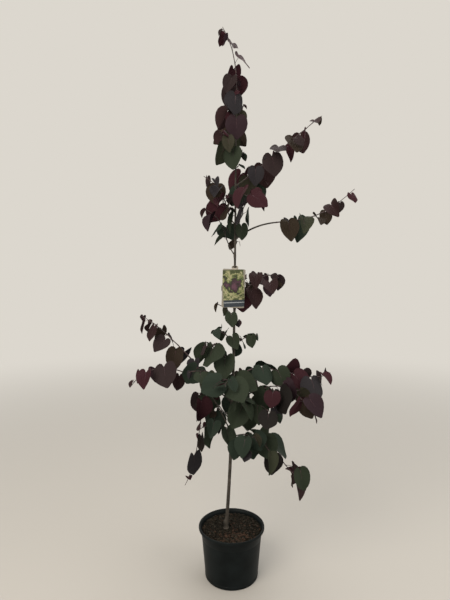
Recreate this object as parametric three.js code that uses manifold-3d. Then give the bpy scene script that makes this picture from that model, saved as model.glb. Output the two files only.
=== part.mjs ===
// A young redbud tree in a round nursery pot: a slender grafted trunk, side shoots that zigzag from leaf
// to leaf, heart-shaped leaves on long stalks, and a blank hanging card looped round the stem.
// Millimetres, +Z up. The origin is the centre of the pot's flat underside, and -Y is the front.
import * as THREE from "three";
import { mergeVertices } from "three/addons/utils/BufferGeometryUtils.js";
import Module from "manifold-3d";

const wasm = await Module();
wasm.setup();

// ---- Driving dimensions ----

const CLEARANCE = 0.3; // between pieces that touch
const FINEST = 0.05; // edges shorter than this are closed up
const UP = new THREE.Vector3(0, 0, 1);

const POT = {
  height: 215,
  rimRadius: 140,
  lipDepth: 13, // height of the rolled rim
  topRadius: 131, // of the body, under the rim
  baseRadius: 112,
  chamfer: 3,
  wall: 2.5,
  floor: 3,
};

const SOIL = { top: 197, crown: 3 };

const ROUND_SIDES = 36;

const TRUNK = {
  foot: SOIL.top + SOIL.crown + CLEARANCE,
  top: 1975,
  x: 18, // where the upright part stands
  footOffset: -41, // the foot stands to the left of that
  straightening: 520, // height over which the lean dies out
  sway: 4, // forwards and back
  swayLength: 330,
  footRadius: 7.6,
  topRadius: 2.4,
  taper: 0.9,
  flare: 4.5,
  flareHeight: 9,
  graftHeight: 24, // above the foot
  graftBulge: 3.2,
  graftLength: 13,
  graftLean: 0.8, // how much of the bulge stands to the left
  sides: 8,
  rings: 22,
  ringSpread: 1.7, // above 1, the rings crowd at the foot
};

const STEM = { tipRadius: 1.2, thickening: 0.0052, boughSides: 5, sides: 3, step: 42, zigzag: 2.4 };

// Side twigs, on the longer shoots only.
const TWIG = {
  chance: 0.1, // at each leaf
  fromReach: 180,
  turn: [25, 75], // degrees from the shoot's direction
  reach: [45, 105],
  rise: [-15, 40],
  bends: [[0.33, 0.55], [0.66, 0.95]], // shares of its reach and rise
  leaves: [2, 4],
  bare: 0.45,
  leaf: 0.82, // as a share of the shoot's own largest leaf
};

const STALK = { radius: 1.2, shortest: 11 };

// How the leaves' size runs along a shoot: the first leaf's and the last one's share of the largest, how soon
// they are past their largest, and how fast they grow back from the young tip.
const SIZE = { first: 0.8, last: 0.45, ripening: 1.15, growth: 3 };

const LEAF = {
  thickness: 1.5,
  width: 0.88, // sideways squeeze of the polar outline
  roundness: 0.56,
  tip: 0.09, // how far the point is drawn out
  tipAngle: 0.17,
  hollow: 0.02, // straightens the sides towards the point
  hollowAngle: 0.6,
  hollowSpread: 0.3,
  corners: [1.0, 1.9], // of the faceted outline, in radians from the point
};

// The ranges in which the dice hold a leaf. The stalk leaves the stem turned aside, in degrees, and leans
// forward and up by shares of its length.
const HOLD = {
  size: [0.6, 1.0],
  turn: [30, 105],
  forward: [0.1, 0.7],
  lift: [-0.45, 0.95],
  stalk: [0.28, 0.5], // shares of the blade's length
  hang: [-32, 32], // degrees more or less than the shoot's own hang
  roll: [-65, 65],
  fold: [4, 36],
  curl: [0.02, 0.2], // share of the length by which the point curls under
};

const CARD = {
  width: 94,
  height: 160,
  thickness: 1.4,
  corner: 6,
  top: 1304,
  x: 7,
  y: -17,
  tilt: 2.2, // degrees
};

const STRAP = { height: 1309, halfLoop: 13, thickness: 0.9, width: 9, tilt: 25 };

// How the leaves keep clear: limbs and blades are felt as balls.
const ROOM = {
  limbStep: 9,
  limbMargin: 1.8,
  bladeStep: 0.16, // shares of the leaf's length
  bladeRadius: 0.09,
  stalkFrom: 0.25, // nearer than this share of it to the stem, a stalk isn't felt
  cardStep: 12,
  cardRadius: 9,
  cardFront: 120, // nothing hangs this close before the card
  ownEase: 0.65, // leaves of one shoot may come this much closer
  tries: 20,
};

// Every side shoot, from the top down. root is its height on the trunk and azimuth its compass direction
// in degrees from +X. It ends reach out and rise up from there, and its two bends are the control points
// of its curve, each a share of the reach and a height. bare is the share of it below the first leaf, leaf
// the length of the largest blade, hang how far in degrees the blades point below the level, and twist how
// far each leaf is turned on round the stem from the last.
const USUAL = { bare: 0.2, leaf: 96, hang: 60, twist: 0, colour: "purple" };

const SHOOTS = [
  { name: "leader", root: 1968, azimuth: 180, reach: 53, rise: 310, bends: [[-0.1, 95], [-0.1, 215]],
    bare: 0, leaves: 12, leaf: 92, twist: 137, seed: 794 },
  { name: "crown_left", root: 1905, azimuth: 205, reach: 44, rise: 50, bends: [[0.3, 22], [0.7, 40]],
    bare: 0, leaves: 4, leaf: 100, twist: 60, colour: "green", seed: 1037 },
  { name: "crown_right", root: 1930, azimuth: 15, reach: 36, rise: 44, bends: [[0.3, 20], [0.7, 40]],
    bare: 0, leaves: 3, leaf: 84, seed: 556 },
  { name: "shoulder_back", root: 1842, azimuth: 100, reach: 90, rise: 66, bends: [[0.3, 26], [0.7, 52]],
    bare: 0, leaves: 4, leaf: 98, colour: "green", seed: 695 },
  { name: "shoulder_left", root: 1768, azimuth: 215, reach: 80, rise: 84, bends: [[0.3, 36], [0.6, 70]],
    bare: 0, leaves: 6, twist: 40, colour: "green", seed: 1045 },
  { name: "upper_right", root: 1643, azimuth: -9, reach: 342, rise: 264, bends: [[0.35, 83], [0.67, 183]],
    bare: 0.1, leaves: 13, seed: 630 },
  { name: "upper_back", root: 1585, azimuth: 72, reach: 260, rise: 190, bends: [[0.3, 70], [0.7, 140]],
    bare: 0.15, leaves: 7, colour: "green", seed: 844 },
  { name: "upper_left", root: 1485, azimuth: 190, reach: 128, rise: 193, bends: [[0.5, 73], [0.1, 130]],
    leaves: 8, seed: 531 },
  { name: "upper_front", root: 1440, azimuth: -72, reach: 190, rise: 160, bends: [[0.35, 60], [0.6, 125]],
    bare: 0.12, leaves: 7, colour: "green", seed: 594 },
  { name: "right_reach", root: 1427, azimuth: -6, reach: 477, rise: 194, bends: [[0.37, 137], [0.54, -10]],
    bare: 0.34, leaves: 10, leaf: 98, seed: 525 },
  { name: "left_lift", root: 1361, azimuth: 170, reach: 128, rise: 191, bends: [[0.41, 60], [0.28, 161]],
    bare: 0.25, leaves: 7, seed: 840 },
  { name: "middle_back", root: 1170, azimuth: 52, reach: 210, rise: 110, bends: [[0.3, 45], [0.6, 100]],
    leaves: 6, seed: 699 },
  { name: "middle_right", root: 1146, azimuth: 6, reach: 200, rise: 111, bends: [[0.1, 55], [0.68, 186]],
    bare: 0.15, leaves: 8, seed: 987 },
  { name: "middle_left", root: 1105, azimuth: 178, reach: 70, rise: 52, bends: [[0.3, 22], [0.6, 44]],
    bare: 0, leaves: 3, leaf: 64, hang: 40, colour: "green", seed: 577 },
  { name: "spur_left", root: 1000, azimuth: 192, reach: 84, rise: 50, bends: [[0.3, 24], [0.6, 46]],
    bare: 0, leaves: 4, leaf: 80, hang: 40, colour: "green", seed: 825 },
  { name: "spur_right", root: 985, azimuth: -14, reach: 96, rise: 44, bends: [[0.3, 24], [0.6, 44]],
    bare: 0, leaves: 5, leaf: 72, hang: 40, colour: "green", seed: 1053 },
  { name: "left_arch", root: 903, azimuth: 186, reach: 125, rise: 78, bends: [[0.3, 30], [0.5, 90]],
    leaves: 5, leaf: 104, hang: 48, colour: "green", seed: 788 },
  { name: "inner_left", root: 822, azimuth: -148, reach: 205, rise: 72, bends: [[0.3, 40], [0.6, 80]],
    leaves: 6, hang: 48, colour: "green", seed: 688 },
  { name: "inner_front", root: 806, azimuth: -98, reach: 230, rise: 60, bends: [[0.3, 50], [0.6, 80]],
    leaves: 6, hang: 45, colour: "green", seed: 993 },
  { name: "right_long", root: 796, azimuth: 9, reach: 430, rise: 56, bends: [[0.16, 200], [0.7, -10]],
    leaves: 11, leaf: 112, hang: 28, seed: 835 },
  { name: "left_long", root: 757, azimuth: 174, reach: 392, rise: 347, bends: [[0.31, 87], [0.7, 299]],
    bare: 0.36, leaves: 10, leaf: 100, hang: 64, seed: 805 },
  { name: "left_low", root: 740, azimuth: 190, reach: 418, rise: 90, bends: [[0.22, 88], [0.74, 249]],
    bare: 0.3, leaves: 9, seed: 710 },
  { name: "right_arch", root: 745, azimuth: -14, reach: 334, rise: -40, bends: [[0.47, 86], [0.72, 135]],
    leaves: 10, leaf: 102, seed: 721 },
  { name: "inner_right", root: 700, azimuth: -42, reach: 230, rise: 30, bends: [[0.35, 70], [0.6, 70]],
    leaves: 7, leaf: 102, hang: 52, colour: "green", seed: 747 },
  { name: "inner_back", root: 705, azimuth: 68, reach: 310, rise: 80, bends: [[0.3, 50], [0.6, 90]],
    leaves: 7, colour: "green", seed: 1052 },
  { name: "low_back", root: 655, azimuth: 125, reach: 280, rise: 70, bends: [[0.3, 50], [0.6, 80]],
    leaves: 7, colour: "green", seed: 1059 },
  { name: "low_right", root: 638, azimuth: 22, reach: 226, rise: 30, bends: [[0.42, 117], [0.46, 118]],
    leaves: 7, leaf: 106, colour: "green", seed: 574 },
  { name: "low_left", root: 618, azimuth: -146, reach: 150, rise: 40, bends: [[0.3, 40], [0.7, 60]],
    bare: 0.15, leaves: 6, leaf: 98, colour: "green", seed: 518 },
  { name: "left_hanging", root: 606, azimuth: 176, reach: 198, rise: -225, bends: [[0.88, 400], [0.45, -30]],
    bare: 0.32, leaves: 8, leaf: 106, hang: 68, twist: 100, seed: 846 },
  { name: "right_hanging", root: 570, azimuth: -8, reach: 298, rise: -180, bends: [[0.39, 102], [0.83, -103]],
    leaves: 9, leaf: 108, seed: 726 },
  { name: "lower_right", root: 590, azimuth: -30, reach: 205, rise: -50, bends: [[0.4, 55], [0.7, 20]],
    leaves: 7, leaf: 106, seed: 543 },
  { name: "low_front", root: 560, azimuth: -62, reach: 170, rise: 22, bends: [[0.4, 60], [0.6, 60]],
    bare: 0.12, leaves: 4, leaf: 102, hang: 50, colour: "green", seed: 199 },
];

const COLOURS = {
  pot: { color: 0x1d2020, roughness: 0.5 },
  soil: { color: 0x2e231b, roughness: 1 },
  bark: { color: 0x4b423c, roughness: 0.85 },
  green: { color: 0x2c3b30, roughness: 0.55 },
  purple: { color: 0x44232e, roughness: 0.55 },
  card: { color: 0xa8a698, roughness: 0.35 },
};

// ---- Small helpers ----

const radians = THREE.MathUtils.degToRad;
const group = new THREE.Group();

function addNode(name, geometry, colour) {
  const mesh = new THREE.Mesh(geometry, new THREE.MeshStandardMaterial({ ...COLOURS[colour], metalness: 0 }));
  mesh.name = name;
  group.add(mesh);
}

// Repeatable random numbers: the Park-Miller generator.
class Dice {
  constructor(seed) {
    this.state = seed * 48271;
  }

  between(low, high) {
    this.state = (this.state * 16807) % 2147483647;
    return low + ((high - low) * this.state) / 2147483647;
  }
}

function toSolid(geometry) {
  const bare = new THREE.BufferGeometry().setAttribute("position", geometry.getAttribute("position"));
  bare.setIndex(geometry.index);
  const merged = mergeVertices(bare, 1e-4);
  return new wasm.Manifold(
    new wasm.Mesh({
      numProp: 3,
      vertProperties: merged.attributes.position.array,
      triVerts: new Uint32Array(merged.index.array),
    }),
  );
}

function toGeometry(solid) {
  const mesh = solid.getMesh();
  return new THREE.BufferGeometry()
    .setAttribute("position", new THREE.BufferAttribute(new Float32Array(mesh.vertProperties), 3))
    .setIndex(new THREE.BufferAttribute(new Uint32Array(mesh.triVerts), 1));
}

const fuse = (geometries) => geometries.map(toSolid).reduce((whole, piece) => whole.add(piece));

// A cut can leave a loose scrap and a join can seal a hollow; neither is kept, nor is an edge too short to
// see. Corners in one place are first made one, which can part a hollow from the rest.
function mainBody(solid) {
  const bodies = toSolid(toGeometry(solid.setTolerance(FINEST))).decompose();
  return bodies.reduce((best, body) => (body.volume() > best.volume() ? body : best));
}

// A solid of revolution about Z, from [radius, height] pairs that start and end on the axis.
function turned(profile, sides) {
  const points = profile.map(([radius, z]) => new THREE.Vector2(radius, z));
  return new THREE.LatheGeometry(points, sides).rotateX(Math.PI / 2);
}

// A closed tube along a path, with a direction and a radius at each point. across stays square to the path.
function taperedTube(path, directions, radii, sides, across) {
  const positions = [];
  const index = [];
  path.forEach((point, i) => {
    const second = new THREE.Vector3().crossVectors(directions[i], across).normalize();
    const first = new THREE.Vector3().crossVectors(second, directions[i]).normalize();
    for (let k = 0; k < sides; k++) {
      const turn = (2 * Math.PI * k) / sides;
      const corner = point.clone().addScaledVector(first, radii[i] * Math.cos(turn));
      corner.addScaledVector(second, radii[i] * Math.sin(turn));
      positions.push(...corner.toArray());
    }
  });
  for (let i = 0; i + 1 < path.length; i++) {
    for (let k = 0; k < sides; k++) {
      const a = i * sides + k;
      const b = i * sides + ((k + 1) % sides);
      index.push(a, b, a + sides, b, b + sides, a + sides);
    }
  }
  const last = (path.length - 1) * sides;
  for (let k = 1; k + 1 < sides; k++) {
    index.push(0, k + 1, k);
    index.push(last, last + k, last + k + 1);
  }
  return new THREE.BufferGeometry()
    .setAttribute("position", new THREE.Float32BufferAttribute(positions, 3))
    .setIndex(index);
}

// ---- Pot and soil ----

function bodyRadius(z) {
  return POT.baseRadius + ((POT.topRadius - POT.baseRadius) * z) / POT.height;
}

function potGeometry() {
  const lipFoot = POT.height - POT.lipDepth;
  const profile = [
    [0, 0],
    [bodyRadius(0) - POT.chamfer, 0],
    [bodyRadius(POT.chamfer), POT.chamfer],
    [bodyRadius(lipFoot), lipFoot],
    [POT.rimRadius, lipFoot],
    [POT.rimRadius, POT.height - POT.chamfer],
    [POT.rimRadius - POT.chamfer, POT.height],
    [bodyRadius(POT.height) - POT.wall, POT.height],
    [bodyRadius(POT.floor) - POT.wall, POT.floor],
    [0, POT.floor],
  ];
  return turned(profile, ROUND_SIDES);
}

function soilGeometry() {
  const inside = (z) => bodyRadius(z) - POT.wall - CLEARANCE;
  const foot = POT.floor + CLEARANCE;
  const seat = 2 * (TRUNK.footRadius + TRUNK.flare) - TRUNK.footOffset;
  const profile = [
    [0, foot],
    [inside(foot), foot],
    [inside(SOIL.top), SOIL.top],
    [seat, SOIL.top + SOIL.crown],
    [0, SOIL.top + SOIL.crown],
  ];
  return turned(profile, ROUND_SIDES);
}

// ---- Trunk ----

function graftSwelling(z) {
  const offset = (z - TRUNK.foot - TRUNK.graftHeight) / TRUNK.graftLength;
  return TRUNK.graftBulge * Math.exp(-offset * offset);
}

function trunkPoint(z) {
  const above = z - TRUNK.foot;
  const lean = TRUNK.footOffset * Math.exp(-above / TRUNK.straightening);
  const sway = TRUNK.sway * Math.sin(above / TRUNK.swayLength);
  return new THREE.Vector3(TRUNK.x + lean - TRUNK.graftLean * graftSwelling(z), sway, z);
}

function trunkRadius(z) {
  const above = z - TRUNK.foot;
  const left = Math.max(0, 1 - above / (TRUNK.top - TRUNK.foot));
  const flare = TRUNK.flare * Math.exp(-above / TRUNK.flareHeight);
  const stem = TRUNK.topRadius + (TRUNK.footRadius - TRUNK.topRadius) * left ** TRUNK.taper;
  return stem + flare + graftSwelling(z);
}

// The trunk is turned straight and then leaned, so its foot stays level. grown adds a skin all round and
// on top.
function trunkGeometry(grown = 0) {
  const profile = [[0, TRUNK.foot]];
  for (let i = 0; i <= TRUNK.rings; i++) {
    const z = TRUNK.foot + (TRUNK.top - TRUNK.foot) * (i / TRUNK.rings) ** TRUNK.ringSpread;
    profile.push([trunkRadius(z) + grown, i === TRUNK.rings ? z + grown : z]);
  }
  profile.push([0, TRUNK.top + grown]);
  const trunk = turned(profile, TRUNK.sides);
  const positions = trunk.getAttribute("position");
  for (let i = 0; i < positions.count; i++) {
    const middle = trunkPoint(positions.getZ(i));
    positions.setXY(i, positions.getX(i) + middle.x, positions.getY(i) + middle.y);
  }
  return trunk;
}

// ---- Shoots ----

// A cubic curve in the shoot's own upright plane, from its start, with a small zigzag from leaf to leaf.
function growShoot(spec, start) {
  const angle = radians(spec.azimuth);
  const out = new THREE.Vector3(Math.cos(angle), Math.sin(angle), 0);
  const side = new THREE.Vector3(-Math.sin(angle), Math.cos(angle), 0);
  const [lower, upper] = spec.bends;

  const curve = (t) => {
    const [a, b, c] = [3 * t * (1 - t) ** 2, 3 * t * t * (1 - t), t ** 3];
    const away = spec.reach * (a * lower[0] + b * upper[0] + c);
    const above = a * lower[1] + b * upper[1] + c * spec.rise;
    return start.clone().addScaledVector(out, away).addScaledVector(UP, above);
  };
  const leafShare = (i) => spec.bare + ((1 - spec.bare) * (i + 0.5)) / spec.leaves;
  const point = (t) => {
    const leafNumber = (Math.max(0, t - spec.bare) / (1 - spec.bare)) * spec.leaves;
    const shift = STEM.zigzag * Math.sin(Math.PI * leafNumber) * Math.min(1, leafNumber);
    return curve(t).addScaledVector(side, shift);
  };
  const along = (t) => curve(Math.min(t + 0.01, 1)).sub(curve(Math.max(t - 0.01, 0))).normalize();
  const length = Math.hypot(spec.reach, spec.rise);
  const radius = (t) => STEM.tipRadius + STEM.thickening * length * (1 - t);
  return { ...spec, out, side, leafShare, point, along, length, radius };
}

// A side twig with two or three leaves, from the angle between the shoot and its leaf i.
function growTwig(shoot, i, dice) {
  const hand = i % 2 ? -1 : 1;
  const azimuth = shoot.azimuth + hand * dice.between(...TWIG.turn) + shoot.twist * i;
  const reach = dice.between(...TWIG.reach);
  const rise = dice.between(...TWIG.rise);
  const bends = TWIG.bends.map(([away, above]) => [away, above * rise]);
  const leaves = Math.floor(dice.between(...TWIG.leaves));
  const spec = { azimuth, reach, rise, bends, leaves, bare: TWIG.bare, leaf: TWIG.leaf * shoot.leaf };
  return growShoot({ ...shoot, ...spec }, shoot.point(shoot.leafShare(i)));
}

// The part of a shoot's stem between two shares of it, with a ring at each of the shares given.
function stemGeometry(shoot, shares, sides) {
  const radii = shares.map(shoot.radius);
  return taperedTube(shares.map(shoot.point), shares.map(shoot.along), radii, sides, shoot.side);
}

function boughGeometry(shoot) {
  const rings = Math.max(2, Math.ceil((shoot.bare * shoot.length) / STEM.step));
  const shares = Array.from({ length: rings + 1 }, (_, i) => (i * shoot.bare) / rings);
  const stem = toSolid(stemGeometry(shoot, shares, STEM.boughSides));
  return toGeometry(mainBody(stem.subtract(trunkSkin)));
}

// ---- Leaves ----

// The length of the leaf at share t of the shoot: largest in the middle, and small at the young tip.
function leafLength(shoot, t) {
  const swell = SIZE.first + (1 - SIZE.first) * Math.sin(Math.PI * Math.min(1, SIZE.ripening * t));
  const youth = Math.min(1, SIZE.last + SIZE.growth * (1 - t));
  return shoot.leaf * swell * youth;
}

// One way to hold a leaf: its stalk runs from the node on the stem to the joint, where its blade hangs.
function poseLeaf(shoot, i, dice) {
  const t = shoot.leafShare(i);
  const hand = i % 2 ? -1 : 1;
  const length = leafLength(shoot, t) * dice.between(...HOLD.size);
  const node = shoot.point(t);
  const turn = radians(hand * dice.between(...HOLD.turn) + shoot.twist * i);
  const level = shoot.out.clone().multiplyScalar(Math.cos(turn)).addScaledVector(shoot.side, Math.sin(turn));
  const stalk = shoot.along(t).multiplyScalar(dice.between(...HOLD.forward)).add(level);
  stalk.addScaledVector(UP, dice.between(...HOLD.lift)).normalize();
  const stalkLength = Math.max(STALK.shortest, dice.between(...HOLD.stalk) * length);
  const joint = node.clone().addScaledVector(stalk, stalkLength);
  const hang = radians(shoot.hang + dice.between(...HOLD.hang));
  const tip = level.clone().multiplyScalar(Math.cos(hang)).addScaledVector(UP, -Math.sin(hang));
  const flat = level.multiplyScalar(Math.sin(hang)).addScaledVector(UP, Math.cos(hang));
  const roll = radians(dice.between(...HOLD.roll));
  const edge = new THREE.Vector3().crossVectors(tip, flat);
  const normal = flat.multiplyScalar(Math.cos(roll)).addScaledVector(edge, Math.sin(roll));
  const across = new THREE.Vector3().crossVectors(tip, normal);
  const fold = radians(dice.between(...HOLD.fold));
  const curl = dice.between(...HOLD.curl);
  return { node, joint, length, tip, normal, across, fold, curl };
}

// The heart outline in polar form round the joint, for a blade of length 1: a full cardioid with a
// drawn-out point.
function heartRadius(angle) {
  const heart = ((1 + Math.cos(angle)) / 2) ** LEAF.roundness;
  const tip = Math.exp(-((angle / LEAF.tipAngle) ** 2));
  const hollow = Math.exp(-(((Math.abs(angle) - LEAF.hollowAngle) / LEAF.hollowSpread) ** 2));
  return (1 - LEAF.tip) * heart + LEAF.tip * tip - LEAF.hollow * hollow;
}

const heartPoint = (angle) => [
  LEAF.width * heartRadius(angle) * Math.sin(angle),
  heartRadius(angle) * Math.cos(angle),
];

// A place on the folded and curled blade, from its flat place (u across, v along, in leaf lengths).
function onBlade(leaf, [u, v], depth = 0) {
  const lift = leaf.length * (Math.abs(u) * Math.sin(leaf.fold) - leaf.curl * v * v);
  return leaf.joint
    .clone()
    .addScaledVector(leaf.across, leaf.length * u * Math.cos(leaf.fold))
    .addScaledVector(leaf.tip, leaf.length * v)
    .addScaledVector(leaf.normal, lift - depth);
}

// Three corners round a stalk: one to either side and one underneath.
function stalkCorners(middle, direction, leaf) {
  const under = new THREE.Vector3().crossVectors(direction, leaf.across).setLength(LEAF.thickness);
  const wide = new THREE.Vector3().crossVectors(under, direction).setLength(STALK.radius);
  return [middle.clone().sub(wide), middle.clone().add(wide), middle.clone().add(under)];
}

// Stalk and blade as one closed solid. The stalk's three corners at the joint are the blade's notch too.
function leafGeometry(leaf) {
  const line = leaf.joint.clone().sub(leaf.node).normalize();
  const foot = stalkCorners(leaf.node, line, leaf);
  const notch = stalkCorners(leaf.joint, line.clone().add(leaf.tip).normalize(), leaf);
  const left = LEAF.corners.map((angle) => heartPoint(-angle)).reverse();
  const outline = [...left, heartPoint(0), ...LEAF.corners.map(heartPoint)];
  const top = outline.map((place) => onBlade(leaf, place));
  const bottom = outline.map((place) => onBlade(leaf, place, LEAF.thickness));
  const count = outline.length;
  const tip = (count - 1) / 2;
  const [footLeft, footRight, footUnder, notchLeft, notchRight, notchUnder] = [0, 1, 2, 3, 4, 5];
  const upper = 6;
  const lower = 6 + count;
  const index = [
    [footLeft, footUnder, footRight],
    [footLeft, footRight, notchRight],
    [footLeft, notchRight, notchLeft],
    [footRight, footUnder, notchUnder],
    [footRight, notchUnder, notchRight],
    [footUnder, footLeft, notchLeft],
    [footUnder, notchLeft, notchUnder],
    [notchLeft, notchRight, upper + tip],
    [notchLeft, upper, lower],
    [notchLeft, lower, notchUnder],
    [notchRight, lower + count - 1, upper + count - 1],
    [notchRight, notchUnder, lower + count - 1],
  ];
  for (let k = 0; k + 1 < count; k++) {
    const notchAbove = k < tip ? notchLeft : notchRight;
    index.push([notchAbove, upper + k + 1, upper + k], [notchUnder, lower + k, lower + k + 1]);
    index.push([upper + k, upper + k + 1, lower + k], [upper + k + 1, lower + k + 1, lower + k]);
  }
  const positions = [...foot, ...notch, ...top, ...bottom].flatMap((corner) => corner.toArray());
  return new THREE.BufferGeometry()
    .setAttribute("position", new THREE.Float32BufferAttribute(positions, 3))
    .setIndex(index.flat());
}

// ---- Room for the leaves ----

function limbBalls(point, radius, length, owner) {
  const count = Math.ceil(length / ROOM.limbStep);
  return Array.from({ length: count + 1 }, (_, i) => ({
    at: point(i / count),
    radius: radius(i / count) + ROOM.limbMargin,
    owner,
    blade: false,
  }));
}

// Places spread evenly over the flat heart, and round its edge.
function heartPlaces() {
  const places = [heartPoint(0), ...LEAF.corners.flatMap((angle) => [heartPoint(angle), heartPoint(-angle)])];
  for (let u = -3; u <= 3; u++) {
    for (let v = -1; v <= 5; v++) {
      const place = [u * ROOM.bladeStep, (v + 0.5) * ROOM.bladeStep];
      const angle = Math.atan2(place[0] / LEAF.width, place[1]);
      if (Math.hypot(place[0] / LEAF.width, place[1]) < heartRadius(angle)) {
        places.push(place);
      }
    }
  }
  return places;
}

// Layers over the card and the room before it.
function cardBalls() {
  const balls = [];
  for (let x = -CARD.width / 2; x <= CARD.width / 2; x += ROOM.cardStep) {
    for (let y = 0; y <= ROOM.cardFront; y += 2 * ROOM.cardStep) {
      for (let z = 0; z <= CARD.height; z += ROOM.cardStep) {
        const at = new THREE.Vector3(CARD.x + x, CARD.y - y, CARD.top - z);
        balls.push({ at, radius: ROOM.cardRadius, owner: "card", blade: true });
      }
    }
  }
  return balls;
}

const bladePlaces = heartPlaces();

function leafBalls(leaf, owner) {
  const radius = ROOM.bladeRadius * leaf.length;
  const blade = bladePlaces.map((place) => ({ at: onBlade(leaf, place), radius, owner, blade: true }));
  const line = leaf.joint.clone().sub(leaf.node);
  const along = (s) => leaf.node.clone().addScaledVector(line, ROOM.stalkFrom + (1 - ROOM.stalkFrom) * s);
  return [...blade, ...limbBalls(along, () => STALK.radius, line.length(), owner)];
}

function tooClose(a, b) {
  const own = a.owner === b.owner;
  if (own && !a.blade && !b.blade) {
    return false;
  }
  const reach = (a.radius + b.radius) * (own ? ROOM.ownEase : 1);
  return a.at.distanceToSquared(b.at) < reach * reach;
}

const hasRoom = (balls, taken) => !balls.some((ball) => taken.some((other) => tooClose(ball, other)));

// Every leaf of a stem is held in the first way that finds room, and is left out where none does.
function growLeaves(stem, dice, taken) {
  const leaves = [];
  for (let i = 0; i < stem.leaves; i++) {
    for (let attempt = 0; attempt < ROOM.tries; attempt++) {
      const leaf = poseLeaf(stem, i, dice);
      const balls = leafBalls(leaf, stem.name);
      if (hasRoom(balls, taken)) {
        taken.push(...balls);
        leaves.push(leaf);
        break;
      }
    }
  }
  return leaves;
}

// The side twigs of a shoot, where its dice call for one and there is room.
function growTwigs(shoot, dice, taken) {
  const twigs = [];
  for (let i = 0; i + 1 < shoot.leaves && shoot.reach > TWIG.fromReach; i++) {
    if (dice.between(0, 1) < TWIG.chance) {
      const twig = growTwig(shoot, i, dice);
      const balls = limbBalls(twig.point, twig.radius, twig.length, twig.name);
      if (hasRoom(balls, taken)) {
        taken.push(...balls);
        twigs.push(twig);
      }
    }
  }
  return twigs;
}

// All stems first, so that no leaf is in the way of one; then the twigs and leaves, shoot by shoot.
function growCrown(shoots) {
  const trunkLength = TRUNK.top - TRUNK.foot;
  const trunkAt = (s) => TRUNK.foot + s * trunkLength;
  const taken = cardBalls();
  const trunkRoom = limbBalls(
    (s) => trunkPoint(trunkAt(s)),
    (s) => trunkRadius(trunkAt(s)),
    trunkLength,
    "trunk",
  );
  taken.push(...trunkRoom);
  for (const shoot of shoots) {
    taken.push(...limbBalls(shoot.point, shoot.radius, shoot.length, shoot.name));
  }
  return shoots.map((shoot) => {
    const dice = new Dice(shoot.seed);
    const twigs = growTwigs(shoot, dice, taken);
    const leaves = [shoot, ...twigs].flatMap((stem) => growLeaves(stem, dice, taken));
    return { twigs, leaves };
  });
}

// A stem's shares of rings: one at each of its leaves, so that it bends there.
const leafyShares = (stem, start) => [
  start,
  ...Array.from({ length: stem.leaves }, (_, i) => stem.leafShare(i)),
  1,
];

// One mass of foliage: the leafy part of a shoot's stem with its twigs and leaves fused on.
function massGeometry(shoot, { twigs, leaves }) {
  const start = shoot.bare ? shoot.bare + CLEARANCE / shoot.length : 0;
  const pieces = [
    stemGeometry(shoot, leafyShares(shoot, start), STEM.sides),
    ...twigs.map((twig) => stemGeometry(twig, leafyShares(twig, 0), STEM.sides)),
    ...leaves.map(leafGeometry),
  ];
  return toGeometry(mainBody(fuse(pieces).subtract(trunkSkin)));
}

// ---- Card and its strap ----

function cardGeometry() {
  const w = CARD.width / 2;
  const h = CARD.height / 2;
  const r = CARD.corner;
  const shape = new THREE.Shape();
  shape.absarc(w - r, -h + r, r, -Math.PI / 2, 0);
  shape.absarc(w - r, h - r, r, 0, Math.PI / 2);
  shape.absarc(-w + r, h - r, r, Math.PI / 2, Math.PI);
  shape.absarc(-w + r, -h + r, r, Math.PI, 1.5 * Math.PI);
  return new THREE.ExtrudeGeometry(shape, { depth: CARD.thickness, bevelEnabled: false, curveSegments: 4 })
    .rotateX(Math.PI / 2)
    .rotateY(radians(CARD.tilt))
    .translate(CARD.x, CARD.y, CARD.top - h);
}

// A flat loop that rests on the back of the trunk and runs down to the card's top edge.
function strapGeometry() {
  const tilt = radians(STRAP.tilt);
  const middle = trunkPoint(STRAP.height);
  const back = middle.y + trunkRadius(STRAP.height) + CLEARANCE + (STRAP.width / 2) * Math.sin(tilt);
  const front = CARD.y - CARD.thickness / 2;
  const halfDepth = (back - front) / (2 * Math.cos(tilt)) - STRAP.thickness / 2;
  const outer = [STRAP.halfLoop + STRAP.thickness, halfDepth + STRAP.thickness];
  const shape = new THREE.Shape().absellipse(0, 0, ...outer);
  shape.holes.push(new THREE.Path().absellipse(0, 0, STRAP.halfLoop, halfDepth, 0, 2 * Math.PI, true));
  const options = { depth: STRAP.width, bevelEnabled: false, curveSegments: 8 };
  return new THREE.ExtrudeGeometry(shape, options)
    .translate(0, 0, -STRAP.width / 2)
    .rotateX(tilt)
    .translate(middle.x, (back + front) / 2, STRAP.height);
}

// ---- Assembly ----

const trunkSkin = toSolid(trunkGeometry(CLEARANCE));
const shoots = SHOOTS.map((spec) => growShoot({ ...USUAL, ...spec }, trunkPoint(spec.root)));
const crown = growCrown(shoots);

addNode("pot", potGeometry(), "pot");
addNode("soil", soilGeometry(), "soil");
addNode("trunk", trunkGeometry(), "bark");
addNode("card", toGeometry(fuse([cardGeometry(), strapGeometry()])), "card");
shoots.forEach((shoot, i) => {
  if (shoot.bare) {
    addNode(`bough_${shoot.name}`, boughGeometry(shoot), "bark");
  }
  addNode(`mass_${shoot.name}`, massGeometry(shoot, crown[i]), shoot.colour);
});

export default group;
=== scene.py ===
import functools
import math

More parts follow.
